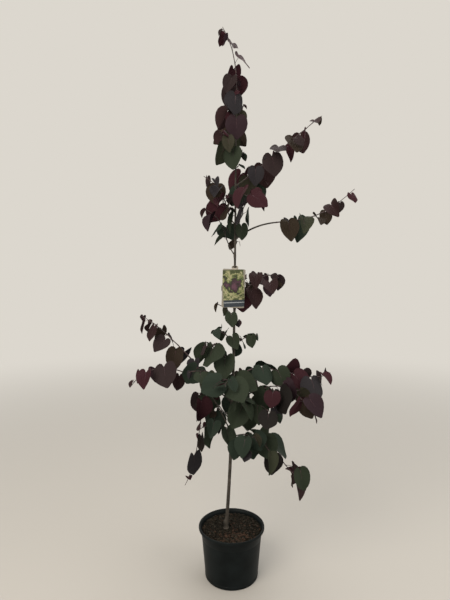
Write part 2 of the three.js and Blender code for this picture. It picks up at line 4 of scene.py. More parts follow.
import bpy
import mathutils
import numpy as np
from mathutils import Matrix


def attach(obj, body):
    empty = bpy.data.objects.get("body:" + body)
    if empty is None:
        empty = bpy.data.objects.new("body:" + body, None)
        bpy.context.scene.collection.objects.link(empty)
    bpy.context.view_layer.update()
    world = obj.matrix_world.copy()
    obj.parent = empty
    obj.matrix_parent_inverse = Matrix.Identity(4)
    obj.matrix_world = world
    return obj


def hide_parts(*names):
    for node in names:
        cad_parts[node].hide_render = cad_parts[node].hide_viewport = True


# A young redbud tree in a round nursery pot. Shapes are worked out in millimetres and put into the meshes in
# metres. +Z is up and -Y is the front.
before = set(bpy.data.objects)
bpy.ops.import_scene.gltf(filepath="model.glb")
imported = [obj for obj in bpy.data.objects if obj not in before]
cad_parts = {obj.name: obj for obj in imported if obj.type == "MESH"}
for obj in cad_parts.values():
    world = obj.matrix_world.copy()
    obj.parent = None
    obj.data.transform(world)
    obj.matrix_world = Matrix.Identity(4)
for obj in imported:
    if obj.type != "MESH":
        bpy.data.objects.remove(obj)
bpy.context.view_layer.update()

up = np.array([0.0, 0.0, 1.0])
metre = 1000.0  # in millimetres


# The triangles of one piece, gathered part by part. Each part has the number of its finish and, if that has a
# pattern, its vertices' places in the plane of the pattern.
class Pile:
    def __init__(self):
        self.vertices, self.faces, self.finishes, self.flat, self.count = [], [], [], [], 0

    def add(self, vertices, faces, finish, flat=None):
        self.vertices.append(np.asarray(vertices, float).reshape(-1, 3))
        self.faces.append(np.asarray(faces, int).reshape(-1, 3) + self.count)
        self.finishes.append(np.broadcast_to(finish, len(self.faces[-1])))
        self.count += len(self.vertices[-1])
        if flat is not None:
            self.flat.append(flat)


# Puts a mesh, a light or a camera into the scene.
def addObject(name, data):
    made = bpy.data.objects.new(name, data)
    bpy.context.scene.collection.objects.link(made)
    return made


# One object from a pile. finishes are its materials, in the order of the pile's numbers.
def makePiece(name, pile, finishes, slot, nodes=(), crease=50):
    vertices, faces = np.concatenate(pile.vertices), np.concatenate(pile.faces)
    mesh = bpy.data.meshes.new(name)
    mesh.from_pydata(vertices / metre, [], faces.tolist(), shade_flat=False)
    for finish in finishes:
        mesh.materials.append(finish)
    mesh.polygons.foreach_set("material_index", np.concatenate(pile.finishes).astype(np.int32))
    mesh.set_sharp_from_angle(angle=math.radians(crease))
    if pile.flat:
        flat = np.concatenate(pile.flat)[faces.ravel()]
        mesh.uv_layers.new(name="flat").uv.foreach_set("vector", flat.ravel())
    mesh.update()
    piece = addObject(name, mesh)
    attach(piece, "root")
    if nodes:
        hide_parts(*nodes)
    print(name, len(faces), "triangles")


# The same directions, each 1 long.
def unit(vectors):
    return vectors / np.linalg.norm(vectors, axis=-1, keepdims=True)


# Vector a turned by an angle towards b, which is square to it.
def turned(a, b, angle):
    return math.cos(angle) * a + math.sin(angle) * b


# A bell curve: 1 in the middle, and near 0 at twice the width.
def bell(away, width):
    return np.exp(-((away / width) ** 2))


# Two triangles for each cell of a grid of points, row after row. closed joins the last column to the first.
def gridFaces(rows, columns, closed=False):
    row = np.arange(rows - 1)[:, None] * columns
    column = np.arange(columns if closed else columns - 1)[None]
    nextColumn = (column + 1) % columns
    a, b, c, d = row + column, row + nextColumn, row + columns + nextColumn, row + columns + column
    return np.stack([a, b, c, a, c, d], -1).reshape(-1, 3)


# A closed skin over rings of points: each ring joined to the next, and a fan to a point at either end.
def closeRings(rings, foot, tip):
    count, sides = rings.shape[:2]
    k = np.arange(sides)
    after, last = (k + 1) % sides, (count - 1) * sides
    under = np.stack([np.full(sides, count * sides), after, k], -1)
    over = np.stack([np.full(sides, count * sides + 1), last + k, last + after], -1)
    vertices = np.concatenate([rings.reshape(-1, 3), [foot, tip]])
    return vertices, np.concatenate([gridFaces(count, sides, True), under, over])


# The corners of a circle of radius 1 round Z, and their angles.
def circle(sides):
    turn = 2 * np.pi * np.arange(sides) / sides
    return np.stack([np.cos(turn), np.sin(turn), 0 * turn], -1), turn


# A closed tube: a ring round each point of the path, square to it. radii are for each ring or each corner.
def tube(path, radii, sides, side):
    path = np.asarray(path, float)
    ahead = unit(np.gradient(path, axis=0))
    first = unit(side - (ahead @ side)[:, None] * ahead)
    ring, _ = circle(sides)
    spread = ring[:, :1] * first[:, None] + ring[:, 1:2] * np.cross(ahead, first)[:, None]
    rings = path[:, None] + np.asarray(radii, float).reshape(len(path), -1, 1) * spread
    return closeRings(rings, path[0], path[-1])


# A surface of revolution about Z: each [radius, height] carried round. The profile runs up the outside, from
# the axis and back to it.
def lathe(profile, sides):
    profile = np.asarray(profile, float)[:, None]
    ring, _ = circle(sides)
    points = profile[..., :1] * ring + profile[..., 1:] * up
    return closeRings(points[1:-1], points[0, 0], points[-1, 0])


# A smooth bumpy number from -1 to 1 at each point: the mean of sine waves in many directions, with crests
# about size apart.
def unevenness(points, size, seed, waves=9):
    dice = np.random.RandomState(seed)
    way = unit(dice.normal(size=(waves, 3))) * 2 * np.pi / size / dice.uniform(0.7, 1.4, (waves, 1))
    return np.sin(points @ way.T + dice.uniform(0, 2 * np.pi, waves)).sum(-1) * 1.6 / waves


# The rule by which trunk, shoots, twigs and leaves stand.
trunk = {
    "foot": 200.3, "top": 1975.0, "x": 18.0, "footOffset": -41.0, "straightening": 520.0,
    "sway": 4.0, "swayLength": 330.0, "footRadius": 7.6, "topRadius": 2.4, "taper": 0.9,
    "flare": 4.5, "flareHeight": 9.0, "graftHeight": 24.0, "graftBulge": 3.2, "graftLength": 13.0,
    "graftLean": 0.8,
}
stem = {"tipRadius": 1.2, "thickening": 0.0052, "zigzag": 2.4}
twig = {
    "chance": 0.1, "fromReach": 180, "turn": (25, 75), "reach": (45, 105), "rise": (-15, 40),
    "bends": (0.33, 0.55, 0.66, 0.95), "leaves": (2, 4), "bare": 0.45, "leaf": 0.82,
}
stalk = {"radius": 1.2, "shortest": 11}
# a leaf's size along its shoot: what the first and last have of the largest, and how soon it peaks and falls
leafSize = {"first": 0.8, "last": 0.45, "ripening": 1.15, "growth": 3.0}
leafShape = {
    "width": 0.88, "roundness": 0.56, "tip": 0.09, "tipAngle": 0.17, "hollow": 0.02, "hollowAngle": 0.6,
    "hollowSpread": 0.3, "corners": (1.0, 1.9),
}
hold = {
    "size": (0.6, 1.0), "turn": (30, 105), "forward": (0.1, 0.7), "lift": (-0.45, 0.95), "stalk": (0.28, 0.5),
    "hang": (-32, 32), "roll": (-65, 65), "fold": (4, 36), "curl": (0.02, 0.2),
}
card = {"width": 94, "height": 160, "top": 1304, "x": 7, "y": -17}
room = {
    "limbStep": 9, "limbMargin": 1.8, "bladeStep": 0.16, "bladeColumns": (-3, 4), "bladeRows": (-1, 6),
    "bladeRadius": 0.09, "stalkFrom": 0.25, "cardStep": 12, "cardRadius": 9, "cardFront": 120,
    "ownEase": 0.65, "tries": 20,
}

# Every side shoot from the top down. region is the piece its leaves go to, root the height of its root,
# azimuth its compass direction, reach and rise how far it goes out and up, and bends its curve's two
# handles: how far out, as a share of reach, and how high. bare is its share from the root without leaves and
# oldUpTo that with old ones, leaf their length, hang how steeply they hang, twist the turn from one to the
# next, and seed its dice.
shootColumns = "name region root azimuth reach rise bends leaves bare leaf hang twist seed oldUpTo".split()
shootTable = (
    ("leader", "top", 1968, 180, 53, 310, (-0.1, 95, -0.1, 215), 12, 0, 92, 60, 137, 794, -0.1),
    ("crown_left", "top", 1905, 205, 44, 50, (0.3, 22, 0.7, 40), 4, 0, 100, 60, 60, 1037, 0.1),
    ("crown_right", "top", 1930, 15, 36, 44, (0.3, 20, 0.7, 40), 3, 0, 84, 60, 0, 556, 0.2),
    ("shoulder_back", "top", 1842, 100, 90, 66, (0.3, 26, 0.7, 52), 4, 0, 98, 60, 0, 695, 0.4),
    ("shoulder_left", "top", 1768, 215, 80, 84, (0.3, 36, 0.6, 70), 6, 0, 96, 60, 40, 1045, 0.4),
    ("upper_right", "upper", 1643, -9, 342, 264, (0.35, 83, 0.67, 183), 13, 0.1, 96, 60, 0, 630, 0.05),
    ("upper_back", "upper", 1585, 72, 260, 190, (0.3, 70, 0.7, 140), 7, 0.15, 96, 60, 0, 844, 0.5),
    ("upper_left", "upper", 1485, 190, 128, 193, (0.5, 73, 0.1, 130), 8, 0.2, 96, 60, 0, 531, 0.35),
    ("upper_front", "upper", 1440, -72, 190, 160, (0.35, 60, 0.6, 125), 7, 0.12, 96, 60, 0, 594, 0.4),
    ("right_reach", "upper", 1427, -6, 477, 194, (0.37, 137, 0.54, -10), 10, 0.34, 98, 60, 0, 525, 0.55),
    ("left_lift", "upper", 1361, 170, 128, 191, (0.41, 60, 0.28, 161), 7, 0.25, 96, 60, 0, 840, 0.65),
    ("middle_back", "middle", 1170, 52, 210, 110, (0.3, 45, 0.6, 100), 6, 0.2, 96, 60, 0, 699, 0.1),
    ("middle_right", "middle", 1146, 6, 200, 111, (0.1, 55, 0.68, 186), 8, 0.15, 96, 60, 0, 987, -0.1),
    ("middle_left", "middle", 1105, 178, 70, 52, (0.3, 22, 0.6, 44), 3, 0, 64, 40, 0, 577, 0.7),
    ("spur_left", "middle", 1000, 192, 84, 50, (0.3, 24, 0.6, 46), 4, 0, 80, 40, 0, 825, 0.8),
    ("spur_right", "middle", 985, -14, 96, 44, (0.3, 24, 0.6, 44), 5, 0, 72, 40, 0, 1053, 0.8),
    ("left_arch", "left", 903, 186, 125, 78, (0.3, 30, 0.5, 90), 5, 0.2, 104, 48, 0, 788, 0.7),
    ("inner_left", "left", 822, -148, 205, 72, (0.3, 40, 0.6, 80), 6, 0.2, 96, 48, 0, 688, 0.9),
    ("inner_front", "inner", 806, -98, 230, 60, (0.3, 50, 0.6, 80), 6, 0.2, 96, 45, 0, 993, 0.9),
    ("right_long", "right", 796, 9, 430, 56, (0.16, 200, 0.7, -10), 11, 0.2, 112, 28, 0, 835, 0.45),
    ("left_long", "left", 757, 174, 392, 347, (0.31, 87, 0.7, 299), 10, 0.36, 100, 64, 0, 805, 0.35),
    ("left_low", "left", 740, 190, 418, 90, (0.22, 88, 0.74, 249), 9, 0.3, 96, 60, 0, 710, 0.35),
    ("right_arch", "right", 745, -14, 334, -40, (0.47, 86, 0.72, 135), 10, 0.2, 102, 60, 0, 721, 0.5),
    ("inner_right", "right", 700, -42, 230, 30, (0.35, 70, 0.6, 70), 7, 0.2, 102, 52, 0, 747, 0.9),
    ("inner_back", "inner", 705, 68, 310, 80, (0.3, 50, 0.6, 90), 7, 0.2, 96, 60, 0, 1052, 0.8),
    ("low_back", "left", 655, 125, 280, 70, (0.3, 50, 0.6, 80), 7, 0.2, 96, 60, 0, 1059, 0.6),
    ("low_right", "right", 638, 22, 226, 30, (0.42, 117, 0.46, 118), 7, 0.2, 106, 60, 0, 574, 0.8),
    ("low_left", "left", 618, -146, 150, 40, (0.3, 40, 0.7, 60), 6, 0.15, 98, 60, 0, 518, 0.6),
    ("left_hanging", "left", 606, 176, 198, -225, (0.88, 400, 0.45, -30), 8, 0.32, 106, 68, 100, 846, -0.3),
    ("right_hanging", "right", 570, -8, 298, -180, (0.39, 102, 0.83, -103), 9, 0.2, 108, 60, 0, 726, 0.75),
    ("lower_right", "right", 590, -30, 205, -50, (0.4, 55, 0.7, 20), 7, 0.2, 106, 60, 0, 543, 1.0),
    ("low_front", "inner", 560, -62, 170, 22, (0.4, 60, 0.6, 60), 4, 0.12, 102, 50, 0, 199, 1.0),
)


# Repeatable random numbers: the Park-Miller generator.
class Dice:
    def __init__(self, seed):
        self.state = seed * 48271

    def between(self, low, high):
        self.state = self.state * 16807 % 2147483647
        return low + (high - low) * self.state / 2147483647


# How far the graft stands out at height z: a bell curve just above the soil.
def graftSwelling(z):
    return trunk["graftBulge"] * bell(z - trunk["foot"] - trunk["graftHeight"], trunk["graftLength"])


# The middle of the trunk at height z: a lean that dies out upwards, and a slow sway.
def trunkPoint(z):
    z = np.asarray(z, float)
    above = z - trunk["foot"]
    lean = trunk["footOffset"] * np.exp(-above / trunk["straightening"])
    x = trunk["x"] + lean - trunk["graftLean"] * graftSwelling(z)
    return np.stack([x, trunk["sway"] * np.sin(above / trunk["swayLength"]), z], -1)


# A power-law taper from foot to top, with a flare at the soil and the graft's swelling.
def trunkRadius(z):
    above = np.asarray(z, float) - trunk["foot"]
    left = np.maximum(0, 1 - above / (trunk["top"] - trunk["foot"]))
    taper = trunk["topRadius"] + (trunk["footRadius"] - trunk["topRadius"]) * left ** trunk["taper"]
    return taper + trunk["flare"] * np.exp(-above / trunk["flareHeight"]) + graftSwelling(z)


# A shoot grows in its own upright plane from its start, with a small zigzag from leaf to leaf.
class Shoot:
    def __init__(self, spec, start, owner):
        self.__dict__.update(spec)
        self.spec, self.start, self.owner = spec, np.asarray(start, float), owner
        angle, ahead, left = math.radians(self.azimuth), np.array([1.0, 0, 0]), np.array([0, 1.0, 0])
        self.out, self.side = turned(ahead, left, angle), turned(left, -ahead, angle)
        self.length = math.hypot(self.reach, self.rise)

    # a cubic Bezier curve: each handle lies at a share of reach and a height, and the tip at reach and rise
    def curve(self, t):
        t = np.asarray(t, float)
        a, b, c = 3 * t * (1 - t) ** 2, 3 * t * t * (1 - t), t**3
        lowOut, lowUp, highOut, highUp = self.bends
        away = self.reach * (a * lowOut + b * highOut + c)
        above = a * lowUp + b * highUp + c * self.rise
        return self.start + away[..., None] * self.out + above[..., None] * up

    # the share of the shoot that lies before leaf i
    def share(self, i):
        return self.bare + (1 - self.bare) * (i + 0.5) / self.leaves

    # where leaf i stands
    def node(self, i):
        return self.point(self.share(i))

    # the curve, moved aside by a sine wave that is widest at the leaves, left and right in turn
    def point(self, t):
        t = np.asarray(t, float)
        number = np.maximum(0, t - self.bare) / (1 - self.bare) * self.leaves
        shift = stem["zigzag"] * np.sin(np.pi * number) * np.minimum(1, number)
        return self.curve(t) + shift[..., None] * self.side

    # the direction of growth
    def along(self, t):
        return unit(self.curve(min(t + 0.01, 1)) - self.curve(max(t - 0.01, 0)))

    # a straight taper to the tip; the longer the shoot, the thicker its root
    def radius(self, t):
        return stem["tipRadius"] + stem["thickening"] * self.length * (1 - np.asarray(t, float))


# Leaves stand left and right in turn.
def handOf(i):
    return -1 if i % 2 else 1


# A small shoot from a larger one, which it takes after in all that isn't given.
def sideShoot(limb, start, azimuth, reach, rise, **spec):
    lowOut, lowUp, highOut, highUp = twig["bends"]
    spec.update(azimuth=azimuth, reach=reach, rise=rise, bends=(lowOut, lowUp * rise, highOut, highUp * rise))
    return Shoot(limb.spec | spec, start, limb.owner)


# A side twig with two or three leaves, from the angle between the shoot and its leaf i.
def growTwig(shoot, i, dice):
    azimuth = shoot.azimuth + handOf(i) * dice.between(*twig["turn"]) + shoot.twist * i
    reach, rise = dice.between(*twig["reach"]), dice.between(*twig["rise"])
    leaves, leaf = math.floor(dice.between(*twig["leaves"])), twig["leaf"] * shoot.leaf
    return sideShoot(shoot, shoot.node(i), azimuth, reach, rise, leaves=leaves, leaf=leaf, bare=twig["bare"])


class Leaf:
    pass


# One way to hold a leaf: its stalk runs from the node on the stem to the joint, where its blade hangs.
def poseLeaf(shoot, i, dice):
    leaf, t, hand = Leaf(), shoot.share(i), handOf(i)
    swell = leafSize["first"] + (1 - leafSize["first"]) * math.sin(math.pi * min(1, leafSize["ripening"] * t))
    youth = min(1, leafSize["last"] + leafSize["growth"] * (1 - t))
    leaf.length = shoot.leaf * swell * youth * dice.between(*hold["size"])
    leaf.share, leaf.shoot, leaf.node = t, shoot, shoot.point(t)
    turn = math.radians(hand * dice.between(*hold["turn"]) + shoot.twist * i)
    level = turned(shoot.out, shoot.side, turn)
    line = shoot.along(t) * dice.between(*hold["forward"]) + level
    line = unit(line + dice.between(*hold["lift"]) * up)
    leaf.joint = leaf.node + line * max(stalk["shortest"], dice.between(*hold["stalk"]) * leaf.length)
    hang = math.radians(shoot.hang + dice.between(*hold["hang"]))
    leaf.tip, flat = turned(level, -up, hang), turned(up, level, hang)
    roll = math.radians(dice.between(*hold["roll"]))
    leaf.normal = turned(flat, np.cross(leaf.tip, flat), roll)
    leaf.across = np.cross(leaf.tip, leaf.normal)
    leaf.fold, leaf.curl = math.radians(dice.between(*hold["fold"])), dice.between(*hold["curl"])
    return leaf


# The heart outline in polar form round the joint, for a blade of length 1: a full cardioid with a drawn-out
# point and a slight hollow on each side of it.
def heartRadius(angle):
    angle, s = np.asarray(angle, float), leafShape
    heart = ((1 + np.cos(angle)) / 2) ** s["roundness"]
    tip, hollow = bell(angle, s["tipAngle"]), bell(np.abs(angle) - s["hollowAngle"], s["hollowSpread"])
    return (1 - s["tip"]) * heart + s["tip"] * tip - s["hollow"] * hollow


# The outline's point at an angle from the midrib: across and along, squeezed to the blade's width.
def heartPoint(angle):
    radius = heartRadius(angle)
    return np.stack([leafShape["width"] * radius * np.sin(angle), radius * np.cos(angle)], -1)


# Places on the folded and curled blade, from flat ones (u across, v along, in leaf lengths).
def onBlade(leaf, places):
    u, v = places[:, :1], places[:, 1:]
    lift = np.abs(u) * math.sin(leaf.fold) - leaf.curl * v * v
    flat = u * math.cos(leaf.fold) * leaf.across + v * leaf.tip
    return leaf.joint + leaf.length * (flat + lift * leaf.normal)


# Places spread evenly over the flat heart, and round its edge.
def heartPlaces():
    places = [heartPoint(0.0)] + [heartPoint(a * hand) for a in leafShape["corners"] for hand in (1, -1)]
    for u in range(*room["bladeColumns"]):
        for v in range(*room["bladeRows"]):
            place = np.array([u, v + 0.5]) * room["bladeStep"]
            squeezed = place / [leafShape["width"], 1]
            if np.hypot(*squeezed) < heartRadius(math.atan2(*squeezed)):
                places.append(place)
    return np.array(places)


bladePlaces = heartPlaces()


# Everything that takes up room, as balls: where, how large, whose, and whether of a blade or of a limb.
class Taken:
    def __init__(self):
        self.at, self.radius = np.zeros((0, 3)), np.zeros(0)
        self.owner, self.blade = np.zeros(0, int), np.zeros(0, bool)

    def add(self, at, radius, blade, owner):
        self.at, self.radius = np.concatenate([self.at, at]), np.concatenate([self.radius, radius])
        self.owner = np.concatenate([self.owner, np.full(len(at), owner)])
        self.blade = np.concatenate([self.blade, blade])

    # Whether new balls keep clear of those taken. Room is eased within one shoot, whose stems may touch.
    def hasRoom(self, at, radius, blade, owner):
        widest = self.radius.max() + radius.max()
        near = np.all((self.at > at.min(0) - widest) & (self.at < at.max(0) + widest), axis=1)
        own = self.owner[near] == owner
        reach = (radius[:, None] + self.radius[near]) * np.where(own, room["ownEase"], 1)
        gap = ((at[:, None] - self.at[near]) ** 2).sum(-1)
        limbs = own & ~self.blade[near] & ~blade[:, None]
        return not ((gap < reach**2) & ~limbs).any()


# A row of balls along a stem or a stalk, a little wider than it is.
def limbBalls(point, radius, length):
    count = math.ceil(length / room["limbStep"])
    t = np.arange(count + 1) / count
    return point(t), radius(t) + room["limbMargin"], np.zeros(count + 1, bool)


# Balls of one size all over the blade, and a row along the stalk from a little off the stem.
def leafBalls(leaf):
    places = onBlade(leaf, bladePlaces)
    line = leaf.joint - leaf.node
    along = lambda s: leaf.node + (room["stalkFrom"] + (1 - room["stalkFrom"]) * s)[:, None] * line
    at, radius, limb = limbBalls(along, lambda s: stalk["radius"] + 0 * s, np.linalg.norm(line))
    radius = np.concatenate([np.full(len(places), room["bladeRadius"] * leaf.length), radius])
    return np.concatenate([places, at]), radius, np.concatenate([np.ones(len(places), bool), limb])


# Every leaf of a stem is held in the first way that finds room, and is left out where none does.
def growLeaves(grown, dice, taken):
    leaves = []
    for i in range(grown.leaves):
        for _ in range(room["tries"]):
            leaf = poseLeaf(grown, i, dice)
            balls = leafBalls(leaf)
            if taken.hasRoom(*balls, grown.owner):
                taken.add(*balls, grown.owner)
                leaves.append(leaf)
                break
    return leaves


# A long shoot gets a twig at a few of its leaves, where there is room for it.
def growTwigs(shoot, dice, taken):
    twigs = []
    for i in range(shoot.leaves - 1 if shoot.reach > twig["fromReach"] else 0):
        if dice.between(0, 1) < twig["chance"]:
            grown = growTwig(shoot, i, dice)
            balls = limbBalls(grown.point, grown.radius, grown.length)
            if taken.hasRoom(*balls, shoot.owner):
                taken.add(*balls, shoot.owner)
                twigs.append(grown)
    return twigs


# All stems first, so that no leaf is in the way of one; then the twigs and leaves, shoot by shoot.
def growCrown():
    taken = Taken()
    half, step, last = card["width"] / 2, room["cardStep"], 0.01  # last takes the end of each row in
    across, down = np.arange(-half, half + last, step), np.arange(0, card["height"] + last, step)
    before = np.arange(0, room["cardFront"] + last, 2 * step)
    x, y, z = np.meshgrid(card["x"] + across, card["y"] - before, card["top"] - down)
    at = np.stack([x.ravel(), y.ravel(), z.ravel()], -1)
    taken.add(at, np.full(x.size, float(room["cardRadius"])), np.ones(x.size, bool), -1)
    length = trunk["top"] - trunk["foot"]
    height = lambda s: trunk["foot"] + s * length
    taken.add(*limbBalls(lambda s: trunkPoint(height(s)), lambda s: trunkRadius(height(s)), length), -2)
    specs = [dict(zip(shootColumns, row)) for row in shootTable]
    grown = [Shoot(spec, trunkPoint(spec["root"]), owner) for owner, spec in enumerate(specs)]
    for shoot in grown:
        taken.add(*limbBalls(shoot.point, shoot.radius, shoot.length), shoot.owner)
    crown = []
    for shoot in grown:
        dice = Dice(shoot.seed)
        twigs = growTwigs(shoot, dice, taken)
        leaves = [leaf for limb in [shoot, *twigs] for leaf in growLeaves(limb, dice, taken)]
        crown.append((shoot, twigs, leaves))
    return crown, taken


crown, taken = growCrown()
print("grown", sum(len(leaves) for _, _, leaves in crown), "leaves")


# An sRGB hex colour as linear light. paler lightens it by so many of its 255 steps.
def linear(colour, paler=0):
    value = (np.array([int(colour[i:i + 2], 16) for i in (1, 3, 5)]) + paler) / 255
    value = np.where(value <= 0.04045, value / 12.92, ((value + 0.055) / 1.055) ** 2.4)
    return (*(float(v) for v in value), 1.0)


# Gives a node its inputs, by name or number: a socket is linked, and any other value is set.
def setInputs(node, inputs):
    for name, value in inputs.items():
        if isinstance(value, bpy.types.NodeSocket):
            node.id_data.links.new(value, node.inputs[name])
        else:
            node.inputs[name].default_value = value


# Adds one shader node with its settings and its inputs, by name or in their order. Returns an output.
def addNode(tree, kind, inputs=(), output=0, **settings):
    made = tree.nodes.new("ShaderNode" + kind)
    for name, value in settings.items():
        setattr(made, name, value)
    setInputs(made, inputs if isinstance(inputs, dict) else dict(enumerate(inputs)))
    return made.outputs[output]


# A new material whose shader has these values, with a way to add nodes, its shader and object coordinates.
def startFinish(name, shader):
    material = bpy.data.materials.new(name)
    material.use_nodes = True
    add = functools.partial(addNode, material.node_tree)
    surface = material.node_tree.nodes["Principled BSDF"]
    setInputs(surface, shader)
    return material, add, surface, add("TexCoord", output="Object")


# A shader's values for a surface that isn't metal. level is how strong its highlights are.
def gloss(roughness, ior, level=0.5):
    return {"Roughness": roughness, "IOR": ior, "Specular IOR Level": level}


# A material of two colours mixed in soft blotches, with a fine bump. Sizes and heights are in millimetres.
def blotchedFinish(name, shader, dark, light, blotch, grain, height, detail=4.0):
    material, add, surface, place = startFinish(name, shader)
    cloud = add("TexNoise", {"Vector": place, "Scale": metre / blotch, "Detail": detail})
    mix = add("ValToRGB", {"Fac": cloud})
    for stop, at, shade in zip(mix.node.color_ramp.elements, (0.34, 0.66), (dark, light)):
        stop.position, stop.color = at, linear(shade)
    fine = add("TexNoise", {"Vector": place, "Scale": metre / grain, "Detail": 3.0})
    bump = add("Bump", {"Height": fine, "Distance": height / metre, "Strength": 1.0})
    setInputs(surface, {"Base Color": mix, "Normal": bump})
    return material


# Leaves. A living redbud leaf is a thin blade with a waxy skin: satin above, duller and a little paler below.
# Each leaf has one tint from the pigments of its age: chlorophyll green when old, dark red-purple when young.
leafTints = {
    "forest": "#2a3127", "spruce": "#262f28", "moss": "#2f3227", "olive": "#302f26", "bronze": "#2f2820",
    "umber": "#2c251f", "slate": "#282629", "ink": "#1d1b1a", "plum": "#2a2223", "aubergine": "#281d22",
    "wine": "#2c1f20", "maroon": "#311b20",
}
tintNames = list(leafTints)
tintsByAge = {
    "old": ("forest", "spruce", "forest", "moss", "spruce", "forest"),
    "turning": ("bronze", "umber", "slate", "plum", "olive", "slate", "ink"),
    "young": ("plum", "aubergine", "wine", "maroon", "wine", "slate", "umber", "maroon"),
}
ageing = {"scatter": 0.2, "turning": -0.06, "young": 0.12}  # shares of a shoot past its oldUpTo
paleBelow = 6  # in steps of 255
waxy = gloss(0.6, 1.42, 0.06)
dull = gloss(0.8, 1.4, 0.0)
# how the veins' number grows with the angle; their height and width, and the size of the net between them and
# of the bloom's patches, in millimetres on a leaf of this length; how deep the net and the bloom are
veins = {
    "spacing": 2.5, "crowding": 0.12, "height": 0.32, "width": 2.3, "net": 6.0, "bloom": 18.0, "leaf": 85.0,
    "netDepth": 0.05, "bloomDepth": 0.1,
}


# A blade's skin. The main veins fan out from the joint. Their number grows with the angle from the midrib,
# and its rest past a whole number, times the distance from the joint, is how far the nearest vein is.
def bladeSkin(name, colour, shader, height):
    material, add, surface, place = startFinish(name, {"Base Color": colour, **shader})
    flat = add("UVMap", uv_map="flat")
    u, v, _ = add("SeparateXYZ", [flat]).node.outputs
    angle = add("Math", [u, v], operation="ARCTAN2")
    angle = add("Math", [angle], operation="ABSOLUTE")
    square = add("Math", [angle, angle], operation="MULTIPLY")
    slope = [square, -veins["crowding"], veins["spacing"]]
    slope = add("Math", slope, operation="MULTIPLY_ADD")
    number = add("Math", [slope, angle], operation="MULTIPLY")
    rest = add("Math", [number, 0.5], operation="PINGPONG")
    radius = add("VectorMath", [flat], "Value", operation="LENGTH")
    away = add("Math", [rest, radius], operation="MULTIPLY")
    rib = {"Value": away, "From Min": veins["spacing"] * veins["width"] / veins["leaf"], "From Max": 0.0}
    rib = add("MapRange", rib, interpolation_type="SMOOTHSTEP")
    net = {"Vector": flat, "Scale": veins["leaf"] / veins["net"]}
    net = add("TexVoronoi", net, feature="SMOOTH_F1")
    relief = add("Math", [net, -veins["netDepth"], rib], operation="MULTIPLY_ADD")
    bump = add("Bump", {"Height": relief, "Distance": height / metre, "Strength": 1.0})
    bloom = add("TexNoise", {"Vector": place, "Scale": metre / veins["bloom"], "Detail": 3.0})
    rough, depth = shader["Roughness"], veins["bloomDepth"]
    wax = add("MapRange", {"Value": bloom, "To Min": rough - depth, "To Max": rough + depth})
    setInputs(surface, {"Normal": bump, "Roughness": wax})
    return material


leafFinishes = []
for name, tint in leafTints.items():
    leafFinishes.append(bladeSkin(name + "LeafAbove", linear(tint), waxy, -veins["height"]))
    leafFinishes.append(bladeSkin(name + "LeafBelow", linear(tint, paleBelow), dull, veins["height"]))

# Bark of a young trunk: smooth, grey-brown, with darker blotches and fine pores.
trunkBark = blotchedFinish("trunkBark", gloss(0.78, 1.45, 0.3), "#22201c", "#46413b", 26, 1.6, 0.35)
# This year's and last year's wood: thin skin, dark purple-brown, with a slight shine.
shootBark = blotchedFinish("shootBark", gloss(0.55, 1.45), "#231a1c", "#42302f", 14, 1.2, 0.15)
# Leaf stalks: smooth and dark red.
stalkSkin = blotchedFinish("stalkSkin", gloss(0.5, 1.42), "#2a171b", "#432931", 9, 1.0, 0.05)


# Blades. angles are those of the outline's points, from the blade's point to the notch, on each side.
blade = {
    "thickness": 0.6, "wave": 0.06, "waves": 3, "arch": 0.42, "archScatter": 0.6, "youngFold": 0.7,
    "ridgeSoft": 0.1, "inside": 0.52,
    "angles": (0.1, 0.23, 0.42, 0.64, 0.9, 1.17, 1.45, 1.75, 2.06, 2.38, 2.72),
    "smallAngles": (0.13, 0.34, 0.68, 1.05, 1.5, 2.0, 2.55),
}


